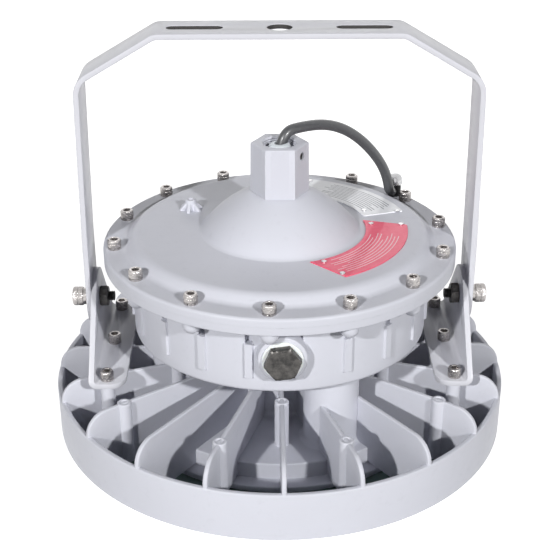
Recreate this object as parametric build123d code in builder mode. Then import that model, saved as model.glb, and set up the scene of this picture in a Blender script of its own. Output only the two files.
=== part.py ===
# Explosion-proof LED floodlight: a finned round casting with its glass below, a driver box on three pillars, a domed
# cover with a hexagonal cable hub, and a flat steel bail that tilts on two bolts.
# Millimetres. X is the bolts' line, -Y the plug's side, Z up, and the origin is at the ring's centre on the floor.
from build123d import *
from math import cos, pi, radians, sin, tan
import os

os.makedirs("parts", exist_ok=True)

# Finned casting
ring_radius = 175.0
ring_height = 37.6
ring_wall = 4.0
ring_edge = 0.8
fin_count = 20
fin_thickness = 3.5
fin_top = 55.0
fin_shoulder = 17.0
core_radius = 45.0
disc_radius = 110.6
disc_top = 18.0
disc_thickness = 4.5
boss_radius = 5.25
boss_hole = 2.1
boss_hole_depth = 12.0
outer_boss_circle = 142.2
inner_boss_circle = 83.8
inner_boss_count = 5
pillar_count = 3
pillar_radius = 20.5
pillar_circle = 81.0
pillar_azimuth = 27.0
wireway_radius = 4.0
wireway_inset = 12.5
wireway_azimuth = 267.0
foot_web_length = 14.5

# Glass, its gasket and the bezel ring below it
bezel_bottom = 0.6
bezel_thickness = 4.7
bezel_lip = 1.6
bezel_radius = 121.5
bezel_window = 92.0
glass_radius = 100.0
glass_thickness = 6.0
glass_play = 1.0
gasket_thickness = 1.6
gasket_width = 6.0
bezel_screw_count = 5

# Light source
board_radius = 85.0
board_thickness = 1.6
board_screw_circle = 76.0
led_side = 5.0
led_height = 1.0
inner_led_circle, inner_led_count = 24.0, 8
outer_led_circle, outer_led_count = 50.0, 16

# Driver box
box_bottom = 79.7
box_radius = 112.3
box_wall = 8.0
box_floor = 6.0
box_foot_round = 3.0
flange_bottom = 135.8
flange_thickness = 6.5
flange_overhang = 20.55
rib_azimuth = 6.0
rib_width = 6.0
rib_proud = 1.8
rib_bottom = 91.0
rib_top = 118.0
pocket_width = 5.0
pocket_depth = 5.0
seal_thickness = 2.0
seal_width = 3.2
seal_inset = 4.5
pillar_seal_thickness = 1.0

# Cover
cover_flange = 6.6
cover_screw_count = 14
cover_screw_edge = 8.4
cover_screw_azimuth = -4.25
cover_boss_radius = 6.5
cover_boss_web = 8.0
cover_rise = 7.6
rise_inset = 15.85
rise_width = 10.0
dome_radius = 60.0
dome_neck = 21.5
dome_height = 30.5
dome_curve = 100.0
cover_skin = 6.0
hub_flats = 37.0
hub_top = 225.0
hub_chamfer = 1.2
hub_bore = 12.0
hub_shoulder = 196.0
hub_passage = 6.0
grub_drop = 8.0
earth_x = -68.8
earth_y = 37.3
earth_post_radius = 4.3
earth_post_height = 8.5
earth_gusset_reach = 9.0
earth_gusset_thickness = 2.2
earth_gusset_height = 5.0
earth_hole = 2.2
earth_gusset_count = 6
earth_turn = 20.0

# Plug of the spare cable entry
plug_height = 109.8
plug_boss_radius = 17.3
plug_boss_proud = 6.7
plug_thread = 8.0
plug_reach = 13.0
plug_flats = 23.0
plug_head = 6.0
plug_turn = 8.0
plug_washer_radius = 14.6
plug_washer_thickness = 1.5

# Brackets and bail
bracket_thickness = 4.0
bracket_foot_inset = 14.0
bracket_length = 130.0
bracket_corner = 12.0
bracket_bend = 3.0
foot_screw_inset = 8.9
foot_screw_y = 57.0
ear_radius = 22.5
ear_base = 64.0
pivot_height = 100.0
bail_gap = 10.15
bail_shoulder_inset = 1.9
bail_straight = 50.0
bail_height = 310.0
bail_flat = 87.5
bail_slope = 30.5
bail_shoulder_bend = 16.0
bail_top_bend = 12.0
bail_thickness = 4.0
bail_width = 38.0
bail_slot_centre = 59.7
bail_slot_length = 40.0
bail_slot_width = 10.5
bail_centre_hole = 9.0

# Screws: shank radius, head radius, head height and key size of each
m3, m3_head, m3_head_height = 1.5, 2.75, 2.0
m5, m5_head = 2.5, 4.8
m6, m6_head, m6_head_height, m6_key = 3.0, 5.0, 6.0, 5.0
m8, m8_head, m8_head_height, m8_key = 4.0, 6.5, 8.0, 6.0
m6_spring, m8_spring = 1.6, 2.5
m6_length = 20.0
m8_fixing_length = 25.0
board_screw_length = 5.0
bezel_screw_length = 11.0
m8_nut_flats, m8_nut_height = 13.0, 6.5
m8_washer_radius, m8_washer_thickness = 8.4, 2.0
pivot_stub = 4.9
spring_gap = 1.0

# Clearances
thread_play = 0.05
screw_play = 0.3
pivot_play = 0.05
axial_play = 0.1
bottom_play = 0.8
seat_play = 0.1
fin_over_bezel = 0.3
root = 1.0

# Cable and its fittings
cable_radius = 4.0
cable_azimuth = 127.4
cable_end_circle = 121.3
cable_end_azimuth = 130.2
cable_end_height = 153.4
bush_base_height = 6.0
bush_radius = 7.75
bush_top = 221.5
clamp_height = 6.0
hub_washer_thickness = 1.5
fitting_azimuth = 131.0
fitting_edge = 6.85
neck_radius = 5.5
neck_height = 10.0
dome_cap_radius = 6.5
dome_cap_height = 8.5
cable_start = 208.0

# Plates on the cover
plate_thickness = 0.8
red_plate_azimuth = 59.4
red_plate_inner, red_plate_inner_half = 65.0, 41.0
red_plate_outer, red_plate_outer_half = 96.5, 32.0
data_plate_azimuth = 135.4
data_plate_inner, data_plate_inner_half = 68.0, 28.5
data_plate_outer, data_plate_outer_half = 100.5, 28.5
rivet_radius, rivet_height = 1.9, 1.0
rivet_edge = 4.5

# Driver module and terminal block in the box
driver_size = (90.0, 50.0, 34.0)
driver_centre = (-20.0, -48.0)
terminal_size = (48.0, 24.0, 22.0)

# Heights and radii that follow
ring_inner = ring_radius - ring_wall
disc_underside = disc_top - disc_thickness
bezel_top = bezel_bottom + bezel_thickness
glass_bottom = bezel_bottom + bezel_lip
glass_top = glass_bottom + glass_thickness
gasket_top = glass_top + gasket_thickness
glass_seat_radius = glass_radius + glass_play
bezel_screw_circle = (glass_seat_radius + disc_radius) / 2
gasket_inner = glass_radius - gasket_width
fin_bottom = bezel_top + fin_over_bezel
board_bottom = disc_underside - board_thickness
flange_top = flange_bottom + flange_thickness
box_inner = box_radius - box_wall
floor_top = box_bottom + box_floor
pillar_top = box_bottom - pillar_seal_thickness
cover_top = flange_top + cover_flange
plateau = cover_top + cover_rise
dome_top = plateau + dome_height
flange_radius = box_radius + flange_overhang
cover_screw_circle = flange_radius - cover_screw_edge
rise_start = flange_radius - rise_inset
plug_boss_face = box_radius + plug_boss_proud
plateau_radius = rise_start - rise_width
fitting_circle = flange_radius - fitting_edge
bail_half_width = flange_radius + bail_gap + bail_thickness
bail_shoulder_half_width = bail_half_width - bail_shoulder_inset
ear_outer = bail_half_width - bail_thickness - axial_play
ear_inner = ear_outer - bracket_thickness
foot_screw_x = ear_inner - foot_screw_inset
bracket_inner = foot_screw_x - bracket_foot_inset
foot_top = fin_top + bracket_thickness
fin_pitch = 360 / fin_count
front = -90.0


def on_circle(radius, azimuth, height=0.0):
    """The point at a radius and an azimuth counted from -Y towards +X."""
    return (radius * sin(radians(azimuth)), -radius * cos(radians(azimuth)), height)


def round_the_axis(radius, count, azimuth=0.0):
    """Places round the lamp's axis, the first at an azimuth counted from -Y towards +X."""
    return PolarLocations(radius, count, start_angle=front + azimuth)


def finish(builder, name):
    """Labels a finished piece and writes it to its own file."""
    builder.part.label = name
    export_step(builder.part, f"parts/{name}.step")


# The finned casting, in four nodes that meet face to face. First its core: the disc with the glass's rebates, the hub,
# and the pillars under the driver box.
with BuildPart() as heat_sink:
    with BuildSketch(Plane.XZ):
        with BuildLine():
            Polyline(
                (0, disc_underside),
                (gasket_inner, disc_underside),
                (gasket_inner, gasket_top),
                (glass_seat_radius, gasket_top),
                (glass_seat_radius, bezel_top),
                (disc_radius, bezel_top),
                (disc_radius, disc_top),
                (core_radius, disc_top),
                (core_radius, fin_top),
                (0, fin_top),
                close=True,
            )
        make_face()
    revolve(axis=Axis.Z)
    with BuildSketch(Plane.XY.offset(disc_top - root)):
        with round_the_axis(pillar_circle, pillar_count, pillar_azimuth):
            Circle(pillar_radius)
    extrude(amount=pillar_top - disc_top + root)
    core = heat_sink.part
    with Locations(Plane.XY.offset(pillar_top)):
        with round_the_axis(pillar_circle, pillar_count, pillar_azimuth):
            Hole(m8 + thread_play, m8_fixing_length - box_floor - pillar_seal_thickness + bottom_play)
        with round_the_axis(pillar_circle - wireway_inset, 1, wireway_azimuth):
            Hole(wireway_radius)
    with Locations(Plane.XY.offset(bezel_top).rotated((180, 0, 0))):
        with PolarLocations(bezel_screw_circle, bezel_screw_count, start_angle=-front - 2 * fin_pitch):
            Hole(m5 + thread_play, bezel_screw_length - bezel_thickness + bottom_play)
    with Locations(Plane.XY.offset(disc_underside).rotated((180, 0, 0))):
        with PolarLocations(board_screw_circle, 3):
            Hole(m3 + thread_play, board_screw_length - board_thickness + bottom_play / 2)
finish(heat_sink, "heat_sink")

with BuildPart() as heat_sink_ring:
    with BuildSketch(Plane.XZ):
        with Locations((ring_inner, 0)):
            section = Rectangle(ring_wall, ring_height, align=(Align.MIN, Align.MIN))
        fillet(section.vertices().group_by(Axis.Y)[-1], ring_edge)
    revolve(axis=Axis.Z)
finish(heat_sink_ring, "heat_sink_ring")

# Screw bosses on every second fin, the feet's posts with a web to the next fin, and the bosses on the disc
with BuildPart() as heat_sink_posts:
    with BuildSketch(Plane.XY.offset(fin_bottom)):
        with round_the_axis(outer_boss_circle, fin_count // 2, fin_pitch):
            Circle(boss_radius)
        with Locations((foot_screw_x, 0), (-foot_screw_x, 0)):
            Circle(boss_radius)
        with GridLocations(2 * foot_screw_x, 2 * foot_screw_y, 2, 2):
            Circle(boss_radius)
        with Locations((foot_screw_x, foot_screw_y)):
            Rectangle(fin_thickness, foot_web_length, rotation=fin_pitch, align=(Align.CENTER, Align.MAX))
        mirror(about=Plane.XZ)
        mirror(about=Plane.YZ)
    extrude(amount=fin_top - fin_bottom)
    with BuildSketch(Plane.XY.offset(disc_top)):
        with round_the_axis(inner_boss_circle, inner_boss_count):
            Circle(boss_radius)
    extrude(amount=fin_top - disc_top)
    add(core, mode=Mode.SUBTRACT)
    posts = heat_sink_posts.part
    with Locations(Plane.XY.offset(fin_top)):
        with round_the_axis(outer_boss_circle, fin_count // 2, fin_pitch):
            Hole(boss_hole, boss_hole_depth)
        with round_the_axis(inner_boss_circle, inner_boss_count):
            Hole(boss_hole, boss_hole_depth)
        with Locations((foot_screw_x, 0), (-foot_screw_x, 0)):
            Hole(m6 + thread_play, m6_length - bracket_thickness - m6_spring + bottom_play)
        with GridLocations(2 * foot_screw_x, 2 * foot_screw_y, 2, 2):
            Hole(m6 + thread_play, m6_length - bracket_thickness - m6_spring + bottom_play)
finish(heat_sink_posts, "heat_sink_posts")

with BuildPart() as heat_sink_fins:
    with BuildSketch(Plane.XZ):
        with BuildLine():
            outer_edge = Polyline(
                (ring_radius - fin_shoulder, fin_top),
                (core_radius - root, fin_top),
                (core_radius - root, disc_top - root),
                (disc_radius - root, disc_top - root),
                (disc_radius - root, fin_bottom),
                (ring_inner + root, fin_bottom),
                (ring_inner + root, ring_height - root),
                (ring_radius - ring_edge, ring_height - root),
                (ring_radius - ring_edge, fin_top - fin_shoulder),
            )
            RadiusArc(outer_edge @ 1, outer_edge @ 0, fin_shoulder)
        make_face()
    fin = extrude(amount=fin_thickness / 2, both=True, mode=Mode.PRIVATE)
    with PolarLocations(0, fin_count):
        add(fin)
    add(core, mode=Mode.SUBTRACT)
    add(posts, mode=Mode.SUBTRACT)
    add(heat_sink_ring.part, mode=Mode.SUBTRACT)
finish(heat_sink_fins, "heat_sink_fins")

# Bezel ring, glass and gasket
with BuildPart() as bezel_ring:
    with BuildSketch(Plane.XZ):
        with BuildLine():
            Polyline(
                (bezel_window, bezel_bottom),
                (bezel_radius, bezel_bottom),
                (bezel_radius, bezel_top),
                (glass_seat_radius, bezel_top),
                (glass_seat_radius, glass_bottom),
                (bezel_window, glass_bottom),
                close=True,
            )
        make_face()
    revolve(axis=Axis.Z)
    with Locations(Plane.XY.offset(bezel_bottom).rotated((180, 0, 0))):
        with PolarLocations(bezel_screw_circle, bezel_screw_count, start_angle=-front - 2 * fin_pitch):
            CounterSinkHole(m5 + screw_play, m5_head + screw_play, bezel_thickness)
finish(bezel_ring, "bezel_ring")

with BuildPart() as glass:
    with BuildSketch(Plane.XY.offset(glass_bottom)):
        Circle(glass_radius)
    extrude(amount=glass_thickness)
finish(glass, "glass")

with BuildPart() as glass_gasket:
    with BuildSketch(Plane.XY.offset(glass_top)):
        Circle(glass_radius)
        Circle(gasket_inner, mode=Mode.SUBTRACT)
    extrude(amount=gasket_thickness)
finish(glass_gasket, "glass_gasket")

with BuildPart() as bezel_screws:
    with BuildSketch(Plane.XZ):
        with BuildLine():
            Polyline(
                (0, 0),
                (m5_head, 0),
                (m5, m5_head - m5),
                (m5, bezel_screw_length),
                (0, bezel_screw_length),
                close=True,
            )
        make_face()
    bezel_screw = revolve(axis=Axis.Z, mode=Mode.PRIVATE)
    with Locations(Plane.XY.offset(bezel_bottom)):
        with round_the_axis(bezel_screw_circle, bezel_screw_count, 2 * fin_pitch):
            add(bezel_screw)
finish(bezel_screws, "bezel_screws")

# Light source on the underside of the disc
with BuildPart() as led_board:
    with BuildSketch(Plane.XY.offset(board_bottom)):
        Circle(board_radius)
        with PolarLocations(board_screw_circle, 3):
            Circle(m3 + screw_play, mode=Mode.SUBTRACT)
    extrude(amount=board_thickness)
finish(led_board, "led_board")

with BuildPart() as leds:
    with BuildSketch(Plane.XY.offset(board_bottom)):
        with PolarLocations(inner_led_circle, inner_led_count):
            Rectangle(led_side, led_side)
        with PolarLocations(outer_led_circle, outer_led_count):
            Rectangle(led_side, led_side)
    extrude(amount=-led_height)
finish(leds, "leds")

with BuildPart() as led_board_screws:
    with BuildSketch(Plane.XY.offset(board_bottom)):
        with PolarLocations(board_screw_circle, 3):
            Circle(m3_head)
    extrude(amount=-m3_head_height)
    with BuildSketch(Plane.XY.offset(board_bottom)):
        with PolarLocations(board_screw_circle, 3):
            Circle(m3)
    extrude(amount=board_screw_length)
finish(led_board_screws, "led_board_screws")

# Driver box: a turned bowl with its flange, then the ribs, pockets, screw bosses and the cable entry's boss
with BuildPart() as driver_box:
    with BuildSketch(Plane.XZ):
        with BuildLine():
            Polyline(
                (0, box_bottom),
                (box_radius, box_bottom),
                (box_radius, flange_bottom),
                (flange_radius, flange_bottom),
                (flange_radius, flange_top),
                (box_inner, flange_top),
                (box_inner, floor_top),
                (0, floor_top),
                close=True,
            )
        bowl = make_face()
        fillet(bowl.vertices().group_by(Axis.Y)[0].sort_by(Axis.X)[-1], box_foot_round)
    revolve(axis=Axis.Z)
    with BuildSketch(Plane.XY.offset(rib_bottom)):
        with round_the_axis(box_radius + rib_proud, fin_count, rib_azimuth):
            Rectangle(rib_proud + root, rib_width, align=(Align.MAX, Align.CENTER))
    extrude(amount=rib_top - rib_bottom)
    with BuildSketch(Plane.XY.offset(rib_top)):
        with round_the_axis(box_radius + root, fin_count, rib_azimuth):
            Rectangle(pocket_depth + root, pocket_width, align=(Align.MAX, Align.CENTER))
    extrude(amount=flange_bottom - rib_top, mode=Mode.SUBTRACT)
    with BuildSketch(Plane.XY.offset(flange_bottom - cover_boss_radius / 2)):
        with round_the_axis(cover_screw_circle, cover_screw_count, cover_screw_azimuth):
            Circle(cover_boss_radius)
            Rectangle(cover_screw_circle - box_radius + root, cover_boss_web, align=(Align.MAX, Align.CENTER))
    extrude(amount=cover_boss_radius / 2 + root)
    with Locations(Plane.XY.offset(flange_bottom - cover_boss_radius / 2)):
        with round_the_axis(cover_screw_circle, cover_screw_count, cover_screw_azimuth):
            Sphere(cover_boss_radius)
    with BuildSketch(Plane.XZ.offset(box_inner + root)):
        with Locations((0, plug_height)):
            Circle(plug_boss_radius)
    extrude(amount=plug_boss_face - box_inner - root)
    with BuildSketch(Plane.XZ.offset(plug_boss_face)):
        with Locations((0, plug_height)):
            Circle(plug_thread + thread_play)
    extrude(amount=-(plug_boss_face - box_inner + 2 * root), mode=Mode.SUBTRACT)
    with BuildSketch(Plane.XY.offset(flange_top)):
        Circle(box_inner + seal_inset + seal_width)
        Circle(box_inner + seal_inset, mode=Mode.SUBTRACT)
    extrude(amount=-seal_thickness, mode=Mode.SUBTRACT)
    with Locations(Plane.XY.offset(flange_top)):
        with round_the_axis(cover_screw_circle, cover_screw_count, cover_screw_azimuth):
            Hole(m6 + thread_play, m6_length - cover_flange - m6_spring + bottom_play)
    with Locations(Plane.XY.offset(floor_top)):
        with round_the_axis(pillar_circle, pillar_count, pillar_azimuth):
            Hole(m8 + screw_play, box_floor)
        with round_the_axis(pillar_circle - wireway_inset, 1, wireway_azimuth):
            Hole(wireway_radius, box_floor)
finish(driver_box, "driver_box")

with BuildPart() as pillar_seals:
    with BuildSketch(Plane.XY.offset(pillar_top)):
        with round_the_axis(pillar_circle, pillar_count, pillar_azimuth):
            Circle(pillar_radius - root)
            Circle(m8 + screw_play, mode=Mode.SUBTRACT)
        with round_the_axis(pillar_circle - wireway_inset, 1, wireway_azimuth):
            Circle(wireway_radius, mode=Mode.SUBTRACT)
    extrude(amount=pillar_seal_thickness)
finish(pillar_seals, "pillar_seals")

with BuildPart() as cover_seal:
    with BuildSketch(Plane.XY.offset(flange_top - seal_thickness)):
        Circle(box_inner + seal_inset + seal_width - seat_play)
        Circle(box_inner + seal_inset + seat_play, mode=Mode.SUBTRACT)
    extrude(amount=seal_thickness)
finish(cover_seal, "cover_seal")

# Spare entry's plug, a hexagon turned a little out of square, on its washer
with BuildPart() as plug_washer:
    with BuildSketch(Plane.XZ.offset(plug_boss_face)):
        with Locations((0, plug_height)):
            Circle(plug_washer_radius)
            Circle(plug_thread + screw_play, mode=Mode.SUBTRACT)
    extrude(amount=plug_washer_thickness)
finish(plug_washer, "plug_washer")

with BuildPart() as stopping_plug:
    with BuildSketch(Plane.XZ.offset(plug_boss_face + plug_washer_thickness)):
        with Locations((0, plug_height)):
            RegularPolygon(plug_flats / 2, 6, major_radius=False, rotation=plug_turn)
    extrude(amount=plug_head)
    with BuildSketch(Plane.XZ.offset(plug_boss_face + plug_washer_thickness)):
        with Locations((0, plug_height)):
            Circle(plug_thread)
    extrude(amount=-plug_reach)
finish(stopping_plug, "stopping_plug")

# Cover: flange, plateau and dome turned in one revolve, with the hexagonal hub and the earth boss
with BuildPart() as cover:
    with BuildSketch(Plane.XZ):
        with BuildLine():
            underside = Polyline(
                (0, dome_top),
                (0, dome_top - cover_skin),
                (dome_neck - cover_skin, dome_top - cover_skin),
                (dome_radius - 1.5 * cover_skin, plateau - cover_skin),
                (box_inner - cover_skin / 2, plateau - cover_skin),
                (box_inner, flange_top),
                (flange_radius, flange_top),
                (flange_radius, cover_top),
                (rise_start, cover_top),
            )
            rise = Spline(underside @ 1, (plateau_radius, plateau), tangents=((-1, 0.2), (-1, 0.05)))
            flat = Line(rise @ 1, (dome_radius, plateau))
            dome = RadiusArc(flat @ 1, (dome_neck, dome_top), -dome_curve)
            Line(dome @ 1, underside @ 0)
        make_face()
    revolve(axis=Axis.Z)
    with BuildSketch(Plane.XY.offset(dome_top - root)):
        RegularPolygon(hub_flats / 2, 6, major_radius=False)
    extrude(amount=hub_top - dome_top + root)
    chamfer(edges().group_by(Axis.Z)[-1], hub_chamfer)
    # Earth boss: a drilled post on six gussets
    with BuildSketch(Plane.XY.offset(plateau)):
        with Locations((earth_x, earth_y)):
            with PolarLocations(0, earth_gusset_count, start_angle=earth_turn):
                Rectangle(earth_gusset_reach, earth_gusset_thickness, align=(Align.MIN, Align.CENTER))
    extrude(amount=earth_gusset_height)
    with BuildSketch(Plane.XY.offset(plateau)):
        with Locations((earth_x, earth_y)):
            Circle(earth_post_radius)
    extrude(amount=earth_post_height)
    with Locations((earth_x, earth_y, plateau + earth_post_height)):
        Hole(earth_hole, earth_post_height)
    with Locations((0, 0, hub_top)):
        Hole(hub_bore, hub_top - hub_shoulder)
        Hole(hub_passage)
    with BuildSketch(Plane(origin=on_circle(hub_flats, 60, hub_top - grub_drop), z_dir=on_circle(-1, 60))):
        Circle(m6 + thread_play)
    extrude(amount=hub_flats, mode=Mode.SUBTRACT)
    with Locations(Plane.XY.offset(cover_top)):
        with round_the_axis(cover_screw_circle, cover_screw_count, cover_screw_azimuth):
            Hole(m6 + screw_play, cover_flange)
finish(cover, "cover")

with BuildPart() as grub_screw:
    with BuildSketch(Plane(origin=on_circle(hub_flats / 2 - root, 60, hub_top - grub_drop), z_dir=on_circle(-1, 60))):
        Circle(m6)
    extrude(amount=hub_flats / 2 - hub_bore - 2 * root)
    with BuildSketch(Plane(origin=on_circle(hub_flats / 2 - root, 60, hub_top - grub_drop), z_dir=on_circle(-1, 60))):
        RegularPolygon(m3, 6, major_radius=False)
    extrude(amount=m3, mode=Mode.SUBTRACT)
finish(grub_screw, "grub_screw")


def cap_screw(shank, head, head_height, key, length):
    """A socket head screw with its head's underside at the origin and its shank down."""
    with BuildPart(mode=Mode.PRIVATE) as screw:
        Cylinder(head, head_height, align=(Align.CENTER, Align.CENTER, Align.MIN))
        chamfer(screw.edges().group_by(Axis.Z)[-1], head_height / 12)
        with BuildSketch(Plane.XY.offset(head_height)):
            RegularPolygon(key / 2, 6, major_radius=False)
        extrude(amount=-head_height / 2, mode=Mode.SUBTRACT)
        Cylinder(shank, length, align=(Align.CENTER, Align.CENTER, Align.MAX))
    return screw.part


def spring_washer(inner, outer, thickness):
    """A split ring that stands on the origin."""
    with BuildPart(mode=Mode.PRIVATE) as washer:
        with BuildSketch():
            Circle(outer)
            Circle(inner, mode=Mode.SUBTRACT)
            Rectangle(2 * outer, spring_gap, align=(Align.MIN, Align.CENTER), mode=Mode.SUBTRACT)
        extrude(amount=thickness)
    return washer.part


m6_screw = cap_screw(m6, m6_head, m6_head_height, m6_key, m6_length)
m8_fixing = cap_screw(m8, m8_head, m8_head_height, m8_key, m8_fixing_length)
m6_washer = spring_washer(m6 + seat_play, m6_head - seat_play, m6_spring)

with BuildPart() as cover_screws:
    with Locations(Plane.XY.offset(cover_top + m6_spring)):
        with round_the_axis(cover_screw_circle, cover_screw_count, cover_screw_azimuth):
            add(m6_screw)
finish(cover_screws, "cover_screws")

with BuildPart() as cover_spring_washers:
    with Locations(Plane.XY.offset(cover_top)):
        with round_the_axis(cover_screw_circle, cover_screw_count, cover_screw_azimuth):
            add(m6_washer)
finish(cover_spring_washers, "cover_spring_washers")

with BuildPart() as box_fixing_screws:
    with Locations(Plane.XY.offset(floor_top)):
        with round_the_axis(pillar_circle, pillar_count, pillar_azimuth):
            add(m8_fixing)
finish(box_fixing_screws, "box_fixing_screws")

# Driver module and terminal block on the box's floor
with BuildPart() as led_driver:
    with BuildSketch(Plane.XY.offset(floor_top)):
        with Locations(driver_centre):
            Rectangle(driver_size[0], driver_size[1])
    extrude(amount=driver_size[2])
    fillet(led_driver.edges().filter_by(Axis.Z), root)
finish(led_driver, "led_driver")

with BuildPart() as terminal_block:
    with BuildSketch(Plane.XY.offset(floor_top)):
        Rectangle(terminal_size[0], terminal_size[1])
    extrude(amount=terminal_size[2])
    with BuildSketch(Plane.XZ.offset(terminal_size[1] / 2)):
        with Locations((0, floor_top + terminal_size[2] / 3)):
            with GridLocations(terminal_size[0] / 4, 1, 4, 1):
                Circle(m5)
    extrude(amount=-terminal_size[1] / 4, mode=Mode.SUBTRACT)
finish(terminal_block, "terminal_block")

# Cable gland in the hub: washer, rubber bush with a domed nose, and the ring that clamps its foot
with BuildPart() as hub_washer:
    with BuildSketch(Plane.XY.offset(hub_shoulder)):
        Circle(hub_bore - seat_play)
        Circle(cable_radius + screw_play, mode=Mode.SUBTRACT)
    extrude(amount=hub_washer_thickness)
finish(hub_washer, "hub_washer")

bush_bottom = hub_shoulder + hub_washer_thickness
clamp_bottom = bush_bottom + bush_base_height
with BuildPart() as hub_bush:
    with BuildSketch(Plane.XZ):
        with BuildLine():
            body = Polyline(
                (cable_radius, bush_top),
                (cable_radius, bush_bottom),
                (hub_bore - seat_play, bush_bottom),
                (hub_bore - seat_play, clamp_bottom),
                (bush_radius, clamp_bottom),
                (bush_radius, bush_top - bush_radius + cable_radius),
            )
            RadiusArc(body @ 1, body @ 0, -(bush_radius - cable_radius))
        make_face()
    revolve(axis=Axis.Z)
finish(hub_bush, "hub_bush")

with BuildPart() as hub_clamp_ring:
    with BuildSketch(Plane.XY.offset(clamp_bottom)):
        Circle(hub_bore - thread_play)
        Circle(bush_radius + seat_play, mode=Mode.SUBTRACT)
    extrude(amount=clamp_height)
finish(hub_clamp_ring, "hub_clamp_ring")

# The cable's free stretch, from the bush over the hub and down to the fitting on the cover's flange. Each point is a
# distance out along the cable's azimuth and a height.
cable_stations = [
    (0.0, cable_start),
    (0.0, 232.2),
    (26.0, 232.0),
    (45.5, 228.8),
    (63.5, 221.0),
    (80.0, 209.0),
    (94.0, 195.0),
    (104.3, 181.5),
    (110.0, 169.5),
    (112.8, 158.0),
]
cable_points = [on_circle(distance, cable_azimuth, height) for distance, height in cable_stations]
cable_points.append(on_circle(cable_end_circle, cable_end_azimuth, cable_end_height))


def bend_radii(points):
    """The radius at each corner: 0.45 of the shorter run, divided by the tangent of half the turn."""
    radii = []
    for before, corner, after in zip(points, points[1:], points[2:]):
        arriving = Vector(*corner) - Vector(*before)
        leaving = Vector(*after) - Vector(*corner)
        turn = arriving.get_angle(leaving)
        radii.append(0.45 * min(arriving.length, leaving.length) / tan(radians(turn / 2)))
    return radii


cable_radii = bend_radii(cable_points)
print("cable bend radii", [round(radius, 1) for radius in cable_radii])
with BuildPart() as supply_cable:
    with BuildLine() as cable_path:
        FilletPolyline(*cable_points, radius=cable_radii)
    with BuildSketch(Plane(origin=cable_path.line @ 0, z_dir=cable_path.line % 0)):
        Circle(cable_radius)
    sweep(path=cable_path.line)
cable_length = sum(edge.length for edge in cable_path.edges())
print("cable length", round(cable_length, 1), "volume over section times length",
      round(supply_cable.part.volume / (pi * cable_radius**2 * cable_length), 4))
finish(supply_cable, "supply_cable")

with BuildPart() as cable_tail:
    with BuildSketch(Plane.XY.offset(floor_top + terminal_size[2])):
        Circle(cable_radius)
    extrude(amount=cable_start - floor_top - terminal_size[2])
finish(cable_tail, "cable_tail")

# Fitting that the cable's other end goes into
with BuildPart() as fitting_neck:
    with BuildSketch(Plane(on_circle(fitting_circle, fitting_azimuth, cover_top))):
        Circle(neck_radius)
    extrude(amount=neck_height)
finish(fitting_neck, "fitting_neck")

with BuildPart() as fitting_dome:
    with BuildSketch(Plane(on_circle(fitting_circle, fitting_azimuth, cover_top + neck_height))):
        Circle(dome_cap_radius)
    extrude(amount=dome_cap_height)
    fillet(fitting_dome.edges().group_by(Axis.Z)[-1], dome_cap_radius - root)
finish(fitting_dome, "fitting_dome")


# Plates riveted to the cover
def band(azimuth, inner, inner_half, outer, outer_half):
    """A curved plate's outline between two arcs about the lamp's axis."""
    with BuildSketch(mode=Mode.PRIVATE) as outline:
        with BuildLine():
            inside = ThreePointArc(
                on_circle(inner, azimuth - inner_half)[:2],
                on_circle(inner, azimuth)[:2],
                on_circle(inner, azimuth + inner_half)[:2],
            )
            outside = ThreePointArc(
                on_circle(outer, azimuth - outer_half)[:2],
                on_circle(outer, azimuth)[:2],
                on_circle(outer, azimuth + outer_half)[:2],
            )
            Line(inside @ 0, outside @ 0)
            Line(inside @ 1, outside @ 1)
        make_face()
    return outline.sketch


def rivet_places(azimuth, inner, inner_half, outer, outer_half):
    """One place near each corner of a plate, at the plate's top."""
    places = []
    for radius, half, inward in ((inner, inner_half, 1), (outer, outer_half, -1)):
        for side in (-1, 1):
            circle = radius + inward * rivet_edge
            step = rivet_edge / circle * 180 / pi
            places.append(on_circle(circle, azimuth + side * (half - inward * step - step)))
    return places


red_plate_shape = (
    red_plate_azimuth, red_plate_inner, red_plate_inner_half, red_plate_outer, red_plate_outer_half
)
data_plate_shape = (
    data_plate_azimuth, data_plate_inner, data_plate_inner_half, data_plate_outer, data_plate_outer_half
)
with BuildPart() as red_plate:
    with BuildSketch(Plane.XY.offset(plateau)):
        add(band(*red_plate_shape))
    extrude(amount=plate_thickness)
finish(red_plate, "red_plate")

with BuildPart() as data_plate:
    with BuildSketch(Plane.XY.offset(plateau)):
        add(band(*data_plate_shape))
    extrude(amount=plate_thickness)
finish(data_plate, "data_plate")

with BuildPart() as plate_rivets:
    with Locations(Plane.XY.offset(plateau + plate_thickness)):
        with Locations(*rivet_places(*red_plate_shape), *rivet_places(*data_plate_shape)):
            Cylinder(rivet_radius, rivet_height, align=(Align.CENTER, Align.CENTER, Align.MIN))
finish(plate_rivets, "plate_rivets")

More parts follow.
